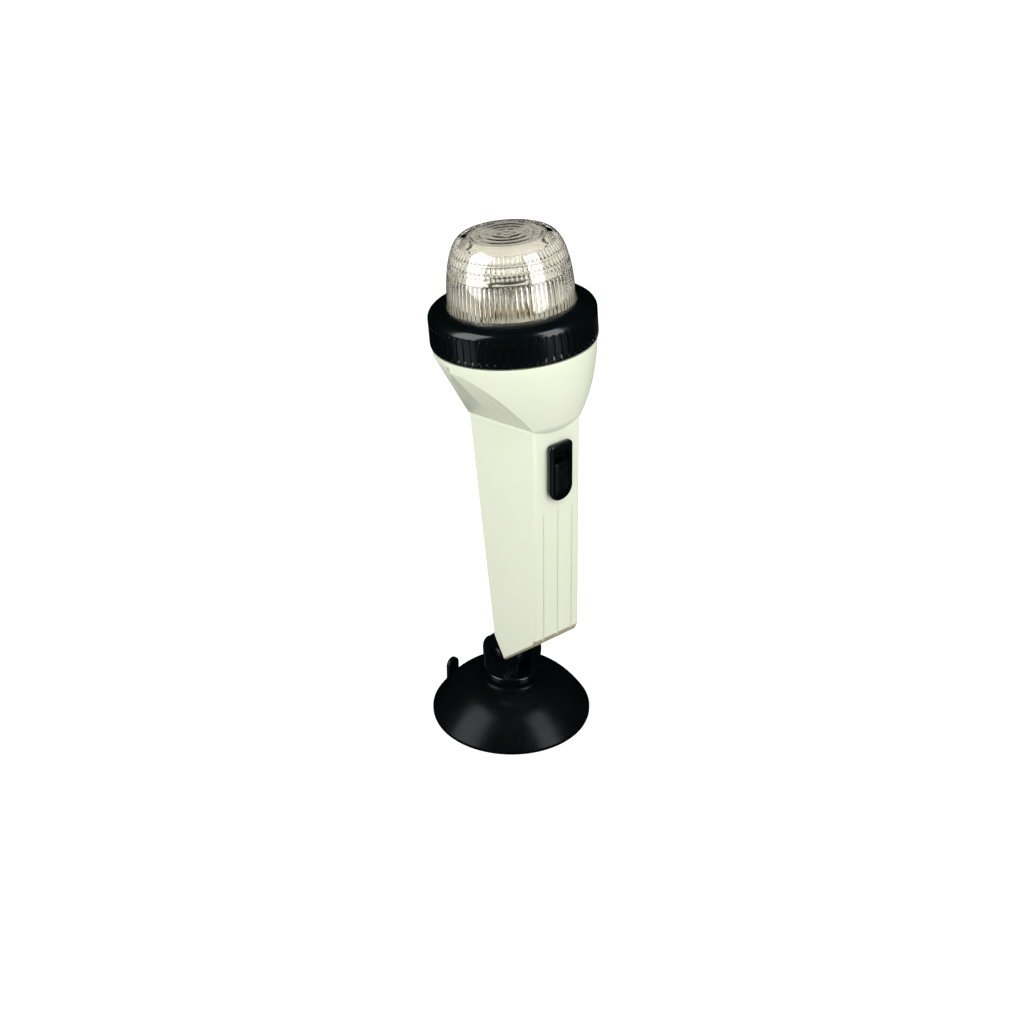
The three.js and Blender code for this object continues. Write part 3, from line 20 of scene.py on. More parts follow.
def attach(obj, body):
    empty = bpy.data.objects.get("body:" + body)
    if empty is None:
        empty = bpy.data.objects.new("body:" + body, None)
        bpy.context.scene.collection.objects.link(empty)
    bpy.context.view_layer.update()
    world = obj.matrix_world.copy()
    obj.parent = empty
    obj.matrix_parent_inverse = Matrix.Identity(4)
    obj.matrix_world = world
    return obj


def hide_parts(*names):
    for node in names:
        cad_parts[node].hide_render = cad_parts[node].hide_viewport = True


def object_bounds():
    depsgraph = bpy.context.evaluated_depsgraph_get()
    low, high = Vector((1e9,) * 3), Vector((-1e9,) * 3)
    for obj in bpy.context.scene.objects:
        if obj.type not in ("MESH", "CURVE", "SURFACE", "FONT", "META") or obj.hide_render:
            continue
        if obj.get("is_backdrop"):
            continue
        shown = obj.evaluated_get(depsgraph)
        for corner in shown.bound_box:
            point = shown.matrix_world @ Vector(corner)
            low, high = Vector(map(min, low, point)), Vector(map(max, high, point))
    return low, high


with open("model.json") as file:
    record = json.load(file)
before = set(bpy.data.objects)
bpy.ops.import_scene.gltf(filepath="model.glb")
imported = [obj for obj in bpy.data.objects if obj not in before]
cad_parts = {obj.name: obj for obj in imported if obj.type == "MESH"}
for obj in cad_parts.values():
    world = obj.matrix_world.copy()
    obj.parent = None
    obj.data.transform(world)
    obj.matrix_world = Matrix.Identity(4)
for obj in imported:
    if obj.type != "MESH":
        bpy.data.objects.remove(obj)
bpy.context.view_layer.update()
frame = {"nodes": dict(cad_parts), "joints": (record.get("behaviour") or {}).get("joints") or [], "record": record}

LOG = logging.getLogger("stern_light")
MM = 0.001
TURN = 2 * math.pi
OVERRUN = 1.0
FIT = 0.3
SMOOTH_ANGLE = math.radians(32)
LENS_RADIUS = 27.8

Point = tuple[float, float]
Gate = Callable[[float, int], float]


class Slot(Enum):
    """The material slots of the record, and one look of its own for the blackened screws."""

    RUBBER = "cup_rubber"
    BLACK = "black_plastic"
    IVORY = "ivory_plastic"
    WHITE = "white_plastic"
    LENS = "lens_clear"
    GLASS = "bulb_glass"
    STEEL = "steel"
    BLUED = "blued_steel"
    BRASS = "brass"
    CELL = "cell_jacket"
    RED = "red_wire"
    DARK = "black_wire"


class Cut(Enum):
    """How one solid works on another."""

    JOIN = "UNION"
    TAKE = "DIFFERENCE"
    KEEP = "INTERSECT"


# ---------------------------------------------------------------- finishes


class Shader:
    """A material's node tree, built a node at a time."""

    def __init__(self, name: str) -> None:
        """Starts a material.

        Args:
            name: the material's name.
        """
        self.material = bpy.data.materials.new(name)
        self.material.use_nodes = True
        self.tree = self.material.node_tree
        self.surface = self.tree.nodes["Principled BSDF"]
        self.place = self.node("ShaderNodeTexCoord").outputs["Object"]

    def node(self, kind: str, **inputs: object) -> bpy.types.Node:
        """Adds a node.

        Args:
            kind: the node's type name.
            inputs: values or sockets by input name, with _ for a space.

        Returns:
            The new node.
        """
        made = self.tree.nodes.new(kind)
        for name, value in inputs.items():
            self.feed(made.inputs[name.replace("_", " ")], value)
        return made

    def feed(self, socket: bpy.types.NodeSocket, value: object) -> None:
        """Sets an input to a value, or links it to another node's output.

        Args:
            socket: the input.
            value: a value, or the output to link.
        """
        if isinstance(value, bpy.types.NodeSocket):
            self.tree.links.new(value, socket)
        else:
            socket.default_value = value

    def set(self, **inputs: object) -> None:
        """Feeds the surface's own inputs, named with _ for a space."""
        for name, value in inputs.items():
            self.feed(self.surface.inputs[name.replace("_", " ")], value)

    def stretched(self, stretch: Sequence[float]) -> bpy.types.NodeSocket:
        """The place on the surface, scaled by a factor along each axis."""
        return self.node("ShaderNodeMapping", Vector=self.place, Scale=stretch).outputs[0]

    def noise(
        self, per_metre: float, detail: float = 3, stretch: Sequence[float] = (1, 1, 1)
    ) -> bpy.types.NodeSocket:
        """Cloudy noise.

        Args:
            per_metre: how fine it is.
            detail: how many finer layers it has.
            stretch: a factor along each axis.

        Returns:
            The noise's value.
        """
        made = self.node("ShaderNodeTexNoise", Vector=self.stretched(stretch), Scale=per_metre, Detail=detail)
        return made.outputs[0]

    def ramp(
        self, factor: bpy.types.NodeSocket, low: float, high: float, start: float, end: float
    ) -> bpy.types.NodeSocket:
        """A value that goes from start to end as the factor goes from low to high.

        Args:
            factor: the value that drives it.
            low: the factor at the start.
            high: the factor at the end.
            start: the result at low.
            end: the result at high.

        Returns:
            The result, as an output.
        """
        made = self.node("ShaderNodeMapRange", Value=factor)
        for name, value in zip(("From Min", "From Max", "To Min", "To Max"), (low, high, start, end)):
            made.inputs[name].default_value = value
        return made.outputs[0]

    def mix(self, factor: object, first: Sequence[float], second: object) -> bpy.types.NodeSocket:
        """A colour between two.

        Args:
            factor: 0 for the first colour, 1 for the second.
            first: a colour or a socket.
            second: a colour or a socket.

        Returns:
            The mixed colour.
        """
        made = self.tree.nodes.new("ShaderNodeMix")
        made.data_type = "RGBA"
        self.feed(made.inputs[0], factor)
        self.feed(made.inputs[6], coloured(first))
        self.feed(made.inputs[7], coloured(second))
        return made.outputs[2]

    def bump(
        self, height: object, strength: float, millimetres: float, under: object = None
    ) -> bpy.types.NodeSocket:
        """Fine relief.

        Args:
            height: the relief's height, from 0 to 1.
            strength: how much of it is used.
            millimetres: its full height.
            under: a normal that it is added to.

        Returns:
            The normal.
        """
        made = self.node("ShaderNodeBump", Height=height, Strength=strength, Distance=millimetres * MM)
        if under is not None:
            self.feed(made.inputs["Normal"], under)
        return made.outputs[0]


def coloured(value: object) -> object:
    """A colour of three numbers with its alpha added, or the socket as it is."""
    return (*value, 1.0) if isinstance(value, tuple) and len(value) == 3 else value


@dataclass(frozen=True)
class MouldedPlastic:
    """Plastic from a mould: mottled a little in colour and gloss, with fine grain and rubbed specks."""

    colour: tuple[float, float, float]
    shade: tuple[float, float, float]
    roughness: float
    grain: float = 0.12
    specular: float = 0.5
    coat: float = 0.0
    wear: float = 0.15

    def make(self, name: str) -> bpy.types.Material:
        """Builds the material.

        Args:
            name: the material's name.

        Returns:
            The material.
        """
        shader = Shader(name)
        clouds = shader.noise(38, 4)
        streaks = shader.noise(90, 3, (1, 1, 0.12))
        fine = shader.noise(2600, 2)
        base = shader.mix(shader.ramp(clouds, 0.35, 0.7, 0, 1), self.colour, self.shade)
        specks = shader.ramp(shader.noise(900, 2), 0.7, 0.74, 0, self.wear)
        paler = tuple(min(1.0, 1.15 * part + 0.02) for part in self.colour)
        shader.set(
            Base_Color=shader.mix(specks, base, paler),
            Roughness=shader.ramp(streaks, 0.3, 0.7, 0.85 * self.roughness, 1.2 * self.roughness),
            IOR=1.49,
            Coat_Weight=self.coat,
            Coat_Roughness=0.12,
            Specular_IOR_Level=self.specular,
            Normal=shader.bump(fine, self.grain, 0.05, shader.bump(clouds, 0.1, 0.3)),
        )
        return shader.material


@dataclass(frozen=True)
class MouldedRubber:
    """Smooth dark rubber with a faint bloom and dust."""

    colour: tuple[float, float, float]
    bloom: tuple[float, float, float]
    roughness: float

    def make(self, name: str) -> bpy.types.Material:
        """Builds the material.

        Args:
            name: the material's name.

        Returns:
            The material.
        """
        shader = Shader(name)
        clouds = shader.noise(60, 5)
        dust = shader.ramp(shader.noise(1500, 2), 0.68, 0.72, 0, 0.5)
        bloomed = shader.mix(shader.ramp(clouds, 0.45, 0.75, 0, 0.7), self.colour, self.bloom)
        fine = shader.noise(3200, 2)
        shader.set(
            Base_Color=shader.mix(dust, bloomed, tuple(3 * part for part in self.bloom)),
            Roughness=shader.ramp(
                shader.noise(140, 3), 0.3, 0.7, 0.85 * self.roughness, 1.15 * self.roughness
            ),
            IOR=1.5,
            Specular_IOR_Level=0.13,
            Normal=shader.bump(fine, 0.12, 0.04, shader.bump(clouds, 0.08, 0.25)),
        )
        return shader.material


@dataclass(frozen=True)
class ClearMoulding:
    """Clear glass or plastic with a faint tint and the small waves of a moulded surface."""

    tint: tuple[float, float, float]
    roughness: float
    ior: float
    waves: float
    coat: float = 0.0

    def make(self, name: str) -> bpy.types.Material:
        """Builds the material.

        Args:
            name: the material's name.

        Returns:
            The material.
        """
        shader = Shader(name)
        clouds = shader.noise(120, 3)
        hazy = tuple(0.93 * part for part in self.tint)
        shader.set(
            Base_Color=shader.mix(shader.ramp(clouds, 0.3, 0.7, 0, 1), self.tint, hazy),
            Roughness=shader.ramp(shader.noise(420, 3), 0.4, 0.75, self.roughness, 2.5 * self.roughness),
            IOR=self.ior,
            Transmission_Weight=1.0,
            Coat_Weight=self.coat,
            Coat_IOR=1.62,
            Coat_Roughness=0.04,
            Normal=shader.bump(clouds, self.waves, 0.2),
        )
        return shader.material


@dataclass(frozen=True)
class BrightMetal:
    """Turned or rolled metal: fine tool lines, stains and uneven gloss."""

    colour: tuple[float, float, float]
    stain: tuple[float, float, float]
    roughness: float

    def make(self, name: str) -> bpy.types.Material:
        """Builds the material.

        Args:
            name: the material's name.

        Returns:
            The material.
        """
        shader = Shader(name)
        lines = shader.noise(1800, 2, (1, 1, 0.06))
        stains = shader.ramp(shader.noise(220, 4), 0.5, 0.75, 0, 0.8)
        shader.set(
            Base_Color=shader.mix(stains, self.colour, self.stain),
            Metallic=1.0,
            Roughness=shader.ramp(lines, 0.3, 0.7, 0.75 * self.roughness, 1.4 * self.roughness),
            Anisotropic=0.4,
            Normal=shader.bump(lines, 0.25, 0.02),
        )
        return shader.material


@dataclass(frozen=True)
class CellJacket:
    """A plain printed jacket with a metallic sheen and a paler band near its positive end."""

    colour: tuple[float, float, float]
    band: tuple[float, float, float]

    def make(self, name: str) -> bpy.types.Material:
        """Builds the material.

        Args:
            name: the material's name.

        Returns:
            The material.
        """
        shader = Shader(name)
        height = shader.node("ShaderNodeSeparateXYZ", Vector=shader.stretched((1, 1, 1))).outputs[2]
        wave = shader.node("ShaderNodeMath", Value=height)
        wave.operation = "PINGPONG"
        wave.inputs[1].default_value = 0.025
        printed = shader.mix(shader.ramp(wave.outputs[0], 0.021, 0.0212, 0, 1), self.colour, self.band)
        shader.set(
            Base_Color=printed,
            Metallic=0.5,
            Roughness=shader.ramp(shader.noise(300, 3), 0.3, 0.7, 0.22, 0.38),
            Normal=shader.bump(shader.noise(700, 2), 0.1, 0.03),
        )
        return shader.material


@dataclass(frozen=True)
class WhiteFloor:
    """A pale, faintly lit matt floor with hardly visible mottling."""

    colour: tuple[float, float, float]
    glow: float

    def make(self, name: str) -> bpy.types.Material:
        """Builds the material.

        Args:
            name: the material's name.

        Returns:
            The material.
        """
        shader = Shader(name)
        darker = tuple(0.985 * part for part in self.colour)
        shader.set(
            Base_Color=shader.mix(shader.noise(3, 2), self.colour, darker),
            Roughness=0.9,
            Specular_IOR_Level=0.1,
            Emission_Color=(1.0, 1.0, 1.0, 1.0),
            Emission_Strength=self.glow,
        )
        return shader.material


FINISHES = {
    Slot.RUBBER: MouldedRubber((0.0016, 0.0022, 0.003), (0.0022, 0.0028, 0.0032), 0.27),
    Slot.BLACK: MouldedPlastic(
        (0.0012, 0.0024, 0.0028), (0.0018, 0.0034, 0.0038), 0.17, grain=0.05, specular=0.5, wear=0.01
    ),
    Slot.IVORY: MouldedPlastic(
        (0.7, 0.728, 0.585), (0.685, 0.718, 0.57), 0.4, grain=0.1, specular=0.4, coat=0.04, wear=0.12
    ),
    Slot.WHITE: MouldedPlastic((0.84, 0.83, 0.74), (0.78, 0.77, 0.68), 0.45),
    Slot.LENS: ClearMoulding((0.945, 0.915, 0.83), 0.02, 1.49, 0.12, coat=1.0),
    Slot.GLASS: ClearMoulding((0.99, 0.99, 0.985), 0.005, 1.45, 0.05),
    Slot.STEEL: BrightMetal((0.62, 0.63, 0.64), (0.42, 0.4, 0.36), 0.3),
    Slot.BLUED: BrightMetal((0.035, 0.036, 0.04), (0.02, 0.018, 0.016), 0.35),
    Slot.BRASS: BrightMetal((0.74, 0.6, 0.36), (0.42, 0.33, 0.2), 0.26),
    Slot.CELL: CellJacket((0.03, 0.09, 0.3), (0.75, 0.76, 0.78)),
    Slot.RED: MouldedPlastic((0.45, 0.03, 0.02), (0.36, 0.02, 0.015), 0.4),
    Slot.DARK: MouldedPlastic((0.012, 0.012, 0.014), (0.02, 0.02, 0.022), 0.4),
}

# Painted shade: a darker ivory for the down-facing faces round the foot, standing in for the shade there, with the
# plastic's rubbed specks.
FOOT_SHADE_PAINT = MouldedPlastic((0.4, 0.385, 0.27), (0.3, 0.285, 0.19), 0.55, grain=0.3, specular=0.3, wear=0.3)


class Wardrobe:
    """The materials, each made once."""

    def __init__(self) -> None:
        """Starts with nothing made."""
        self.made: dict[Slot, bpy.types.Material] = {}

    def dress(self, piece: bpy.types.Object, slot: Slot) -> None:
        """Gives a piece the material of a slot, and names the slot.

        Args:
            piece: the piece.
            slot: the slot that it takes its finish from.
        """
        if slot not in self.made:
            self.made[slot] = FINISHES[slot].make(slot.value + "_finish")
        piece.data.materials.clear()
        piece.data.materials.append(self.made[slot])


WARDROBE = Wardrobe()


# ---------------------------------------------------------------- shapes


def millimetre_frame(origin: Vector, turn_x: float = 0.0) -> Matrix:
    """A local frame in millimetres.

    Args:
        origin: its origin in the row's frame, in metres.
        turn_x: how far it is turned about X.

    Returns:
        The matrix from the local frame to the row's frame.
    """
    return Matrix.Translation(origin) @ Matrix.Rotation(turn_x, 4, "X") @ Matrix.Scale(MM, 4)


def extent(node: str, place: Matrix) -> tuple[Vector, Vector]:
    """A CAD node's lowest and highest corners in a local frame.

    Args:
        node: the node's name.
        place: the local frame.

    Returns:
        The lowest corner and the highest.
    """
    back = place.inverted()
    points = [back @ vertex.co for vertex in frame["nodes"][node].data.vertices]
    return (
        Vector(min(point[axis] for point in points) for axis in range(3)),
        Vector(max(point[axis] for point in points) for axis in range(3)),
    )


def curve(points: Sequence[Point], steps: int) -> list[Point]:
    """Points along a Bezier curve of any degree.

    Args:
        points: its control points.
        steps: how many steps it is cut into.

    Returns:
        The points, both ends included.
    """
    made = []
    degree = len(points) - 1
    for i in range(steps + 1):
        share = i / steps
        weights = [
            math.comb(degree, k) * share**k * (1 - share) ** (degree - k) for k in range(degree + 1)
        ]
        made.append(tuple(sum(w * p[axis] for w, p in zip(weights, points)) for axis in range(2)))
    return made


def rounded(points: Sequence[Point], radius: float, steps: int = 4) -> list[Point]:
    """A closed outline with each corner rounded, as far as its sides allow.

    Args:
        points: its corners in order.
        radius: the radius of each round.
        steps: how many edges make one round.

    Returns:
        The points of the rounded outline.
    """
    made: list[Point] = []
    count = len(points)
    for i, corner in enumerate(points):
        here = Vector(corner)
        before = Vector(points[i - 1]) - here
        after = Vector(points[(i + 1) % count]) - here
        reach = min(radius, 0.45 * before.length, 0.45 * after.length)
        start = here + before.normalized() * reach
        end = here + after.normalized() * reach
        made.extend(curve([tuple(start), tuple(here), tuple(end)], steps))
    return made


def arc(centre: Point, radius: float, start: float, end: float, steps: int) -> list[Point]:
    """Points along an arc, with its ends included. Angles are in degrees."""
    angles = [math.radians(start + (end - start) * i / steps) for i in range(steps + 1)]
    return [(centre[0] + radius * math.cos(a), centre[1] + radius * math.sin(a)) for a in angles]


def turned(
    profile: Sequence[Point], sides: int, shift: Optional[Gate] = None
) -> bmesh.types.BMesh:
    """A solid turned round Z.

    Args:
        profile: [radius, height] points, from axis to axis, or closing on itself.
        sides: how many sides it has.
        shift: what is taken off the radius, by angle and by the point's number.

    Returns:
        The solid.
    """
    made = bmesh.new()
    poles = {
        j: made.verts.new((0, 0, height)) for j, (radius, height) in enumerate(profile) if radius <= 0
    }
    rings = []
    for i in range(sides):
        angle = TURN * i / sides
        ring = []
        for j, (radius, height) in enumerate(profile):
            if j in poles:
                ring.append(poles[j])
                continue
            reach = radius - (shift(angle, j) if shift else 0)
            ring.append(made.verts.new((reach * math.cos(angle), reach * math.sin(angle), height)))
        rings.append(ring)
    spans = len(profile) - (1 if poles else 0)
    for i in range(sides):
        near, far = rings[i], rings[(i + 1) % sides]
        for j in range(spans):
            k = (j + 1) % len(profile)
            corners = list(dict.fromkeys((near[j], far[j], far[k], near[k])))
            made.faces.new(corners)
    bmesh.ops.recalc_face_normals(made, faces=made.faces)
    return made


def prism(outline: Sequence[Point], low: float, high: float) -> bmesh.types.BMesh:
    """An outline in XY made solid between two heights.

    Args:
        outline: its points in order.
        low: the lower height.
        high: the upper height.

    Returns:
        The solid, in its local frame.
    """
    made = bmesh.new()
    base = [made.verts.new((x, y, low)) for x, y in outline]
    cap = [made.verts.new((x, y, high)) for x, y in outline]
    made.faces.new(base)
    made.faces.new(cap)
    for i in range(len(outline)):
        k = (i + 1) % len(outline)
        made.faces.new((base[i], base[k], cap[k], cap[i]))
    bmesh.ops.recalc_face_normals(made, faces=made.faces)
    return made


def box(x: Point, y: Point, z: Point) -> bmesh.types.BMesh:
    """A block between two distances along each axis."""
    return prism([(x[0], y[0]), (x[1], y[0]), (x[1], y[1]), (x[0], y[1])], z[0], z[1])


def hull(points: Iterable[Sequence[float]]) -> bmesh.types.BMesh:
    """The smallest convex solid round some points, with its flat faces whole.

    Args:
        points: the points that it holds.

    Returns:
        The solid, in its local frame.
    """
    made = bmesh.new()
    for point in points:
        made.verts.new(point)
    found = bmesh.ops.convex_hull(made, input=made.verts)
    bmesh.ops.delete(made, geom=found["geom_interior"], context="VERTS")
    bmesh.ops.dissolve_limit(made, angle_limit=math.radians(0.3), verts=made.verts, edges=made.edges)
    bmesh.ops.recalc_face_normals(made, faces=made.faces)
    return made


def moved(solid: bmesh.types.BMesh, by: Matrix) -> bmesh.types.BMesh:
    """Moves a solid, and turns its faces round again where a matrix mirrors it.

    Args:
        solid: the solid, which is changed.
        by: how it is moved.

    Returns:
        The same solid.
    """
    solid.transform(by)
    if by.determinant() < 0:
        bmesh.ops.reverse_faces(solid, faces=solid.faces)
    return solid


SIDEWAYS = Matrix(((0, 0, 1, 0), (1, 0, 0, 0), (0, 1, 0, 0), (0, 0, 0, 1)))
"""Stands an XY outline up as [back, height] and runs its depth along X."""

FACEWISE = Matrix(((1, 0, 0, 0), (0, 0, 1, 0), (0, 1, 0, 0), (0, 0, 0, 1)))
"""Stands an XY outline up as [across, height] and runs its depth to the back."""

ACROSS = Matrix.Rotation(math.pi / 2, 4, "Y")
"""Lays a turned solid's axis along X."""


def softened(
    solid: bmesh.types.BMesh, width: float, steps: int = 3, beyond: float = 30
) -> bmesh.types.BMesh:
    """Rounds a solid's sharp edges.

    Args:
        solid: the solid.
        width: how far the rounding reaches, in millimetres.
        steps: how many facets it has.
        beyond: the least angle between two faces, in degrees, for an edge to count.

    Returns:
        The same solid.
    """
    sharp = [
        edge for edge in solid.edges if edge.is_manifold and edge.calc_face_angle() > math.radians(beyond)
    ]
    bmesh.ops.bevel(
        solid, geom=sharp, offset=width, segments=steps, profile=0.5, affect="EDGES", clamp_overlap=True
    )
    return solid


def loose_object(solid: bmesh.types.BMesh, name: str) -> bpy.types.Object:
    """A solid as an object in the scene. The solid is used up.

    Args:
        solid: its shape. It is used up.
        name: the object's name.

    Returns:
        The object.
    """
    mesh = bpy.data.meshes.new(name)
    solid.to_mesh(mesh)
    solid.free()
    made = bpy.data.objects.new(name, mesh)
    bpy.context.scene.collection.objects.link(made)
    return made


def worked(
    base: bmesh.types.BMesh, steps: Iterable[tuple[Cut, bmesh.types.BMesh]]
) -> bmesh.types.BMesh:
    """Works solids on a solid, one after the other.

    Args:
        base: the solid that is worked on.
        steps: what each other solid does, and the solid.

    Returns:
        The worked solid.
    """
    target = loose_object(base, "work")
    tools = []
    for number, (cut, solid) in enumerate(steps):
        tool = loose_object(solid, f"tool_{number}")
        modifier = target.modifiers.new(f"step_{number}", "BOOLEAN")
        modifier.operation = cut.value
        modifier.solver = "MANIFOLD"
        modifier.object = tool
        tools.append(tool)
    evaluated = target.evaluated_get(bpy.context.evaluated_depsgraph_get())
    result = bmesh.new()
    result.from_mesh(evaluated.to_mesh())
    evaluated.to_mesh_clear()
    for used in [target, *tools]:
        mesh = used.data
        bpy.data.objects.remove(used)
        bpy.data.meshes.remove(mesh)
    bmesh.ops.remove_doubles(result, verts=result.verts, dist=0.002)
    bmesh.ops.dissolve_degenerate(result, edges=result.edges, dist=0.002)
    return result


def helix(
    section: Sequence[Point], turns: tuple[float, float], pitch: float, start: float, per_turn: int = 72
) -> bmesh.types.BMesh:
    """A section of [radius, height] points swept up a right-hand helix.

    Args:
        section: the section.
        turns: where it starts and ends, in turns.
        pitch: how far it climbs in a turn.
        start: its height at turn 0.
        per_turn: how many steps a turn has.

    Returns:
        The solid.
    """
    made = bmesh.new()
    count = math.ceil((turns[1] - turns[0]) * per_turn)
    rings = []
    for i in range(count + 1):
        turn = turns[0] + (turns[1] - turns[0]) * i / count
        angle = TURN * turn
        rings.append(
            [
                made.verts.new((r * math.cos(angle), r * math.sin(angle), start + h + pitch * turn))
                for r, h in section
            ]
        )
    for near, far in zip(rings, rings[1:]):
        for j in range(len(section)):
            k = (j + 1) % len(section)
            made.faces.new((near[j], near[k], far[k], far[j]))
    made.faces.new(rings[0])
    made.faces.new(rings[-1])
    bmesh.ops.recalc_face_normals(made, faces=made.faces)
    return made


def bar(radius: float, start: float, end: float, sides: int) -> bmesh.types.BMesh:
    """A rod along X."""
    return moved(turned([(0, start), (radius, start), (radius, end), (0, end)], sides), ACROSS)


def upright(radius: float, bottom: float, top: float, x: float, y: float) -> bmesh.types.BMesh:
    """A rod that stands at a place."""
    rod = turned([(0, bottom), (radius, bottom), (radius, top), (0, top)], 24)
    return moved(rod, Matrix.Translation((x, y, 0)))


def tube(points: Sequence[Vector], radius: float, sides: int) -> bmesh.types.BMesh:
    """A closed tube through points, for wire that lies mostly in one plane.

    Args:
        points: its centre line.
        radius: its radius.
        sides: how many sides it has round.

    Returns:
        The tube.
    """
    made = bmesh.new()
    rings = []
    for i, point in enumerate(points):
        ahead = points[min(i + 1, len(points) - 1)] - points[max(i - 1, 0)]
        across = ahead.cross(Vector((0, 1, 0)))
        across = across.normalized() if across.length > 1e-6 else Vector((1, 0, 0))
        up = ahead.cross(across).normalized()
        rings.append(
            [
                made.verts.new(
                    point + radius * (across * math.cos(TURN * k / sides) + up * math.sin(TURN * k / sides))
                )
                for k in range(sides)
            ]
        )
    for near, far in zip(rings, rings[1:]):
        for j in range(sides):
            k = (j + 1) % sides
            made.faces.new((near[j], near[k], far[k], far[j]))
    made.faces.new(rings[0])
    made.faces.new(rings[-1])
    bmesh.ops.recalc_face_normals(made, faces=made.faces)
    return made


@dataclass(frozen=True)
class Placing:
    """Where a piece belongs: its frame, the body it rides on and the slot it takes its finish from."""

    place: Matrix
    body: str
    slot: Slot

    def piece(self, name: str, solid: bmesh.types.BMesh, *nodes: str) -> bpy.types.Object:
        """Turns a solid into a finished piece.

        Args:
            name: the piece's name.
            solid: its shape in the local frame. It is used up.
            nodes: the CAD nodes that it stands for.

        Returns:
            The piece.
        """
        solid.transform(self.place)
        bmesh.ops.recalc_face_normals(solid, faces=solid.faces)
        made = loose_object(solid, name)
        made.data.polygons.foreach_set("use_smooth", [True] * len(made.data.polygons))
        made.data.set_sharp_from_angle(angle=SMOOTH_ANGLE)
        WARDROBE.dress(made, self.slot)
        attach(made, self.body)
        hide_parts(*nodes)
        LOG.info("%s: %d faces on %s", name, len(made.data.polygons), self.body)
        return made


def joint(name: str) -> dict:
    """The record's joint of that name."""
    return next(row for row in frame["joints"] if row["name"] == name)


TILT = joint("tilt")
RING_TURN = joint("ring_turn")
SWITCH_SLIDE = joint("switch_slide")
LEAN = math.atan2(RING_TURN["axis"][1], RING_TURN["axis"][2])
WALL_LEAN = math.atan2(SWITCH_SLIDE["axis"][1], SWITCH_SLIDE["axis"][2])
ROW = millimetre_frame(Vector((0, 0, 0)))
HINGE = millimetre_frame(Vector(TILT["pos_m"]))
LAMP = millimetre_frame(Vector(RING_TURN["pos_m"]), -LEAN)


# ---------------------------------------------------------------- sub-assemblies


@dataclass
class SuctionCup:
    """The rubber cup with its raised seat, rolled lip and release tab."""

    lip: float = 1.8
    foot: float = 2.6
    seat_radius: float = 14.5
    seat_step: float = 0.9
    hollow: float = 8.0
    insert_radius: float = 8.3
    insert_neck: float = 5.3
    insert_level: float = 10.1
    insert_thickness: float = 3.4
    tab_width: float = 7.5
    tab_height: float = 13.4
    tab_thickness: float = 2.4
    tab_angle: float = math.radians(104)
    sides: int = 160

    def build(self) -> None:
        """Makes and dresses the cup's pieces."""
        low, high = extent("suction_cup", ROW)
        self.radius = -low.x
        self.height = high.z
        body = turned(self.profile(), self.sides)
        made = worked(body, [(Cut.JOIN, self.tab())])
        Placing(ROW, "cup", Slot.RUBBER).piece("cup_skin", made, "suction_cup")

    def profile(self) -> list[Point]:
        """The cup's section, from the axis under the hollow round to the axis over the insert's pocket.

        Returns:
            The section's points.
        """
        inner = self.radius - self.foot
        seat_foot = self.height - self.seat_step
        hollow = curve([(inner, 0.05), (0.62 * inner, self.hollow), (0, self.hollow)], 18)
        pull = ((self.radius + self.seat_radius) / 2 + 0.7, seat_foot - 0.3)
        dome = curve([(self.radius, self.lip), pull, (self.seat_radius + 0.6, seat_foot)], 40)
        lip = [(inner + 0.15, 0), (self.radius - 0.5, 0), (self.radius - 0.12, 0.12), (self.radius, 0.5)]
        seat = arc((self.seat_radius - 0.9, self.height - 0.6), 0.6, 20, 90, 6)
        groove = [(self.seat_radius + 0.15, seat_foot - 0.28), (self.seat_radius - 0.12, seat_foot - 0.1)]
        top = self.insert_level + self.insert_thickness
        pocket = [
            (self.insert_neck, self.height),
            (self.insert_neck, top),
            (self.insert_radius, top),
            (self.insert_radius, self.insert_level),
            (0, self.insert_level),
        ]
        return hollow[::-1] + lip + dome + groove + seat + pocket

    def tab(self) -> bmesh.types.BMesh:
        """The upright tab, rounded at its top and softened all round.

        Returns:
            The solid, in its local frame.
        """
        half = self.tab_width / 2
        outline = [(-half, 0.4 * self.lip), (half, 0.4 * self.lip)]
        outline += arc((0, self.tab_height - half), half, 0, 180, 18)
        outer = math.sqrt(self.radius**2 - half**2) - FIT
        flat = prism(outline, outer - self.tab_thickness, outer)
        solid = softened(moved(flat, FACEWISE), 0.6, 3, 40)
        return moved(solid, Matrix.Rotation(self.tab_angle - math.pi / 2, 4, "Z"))


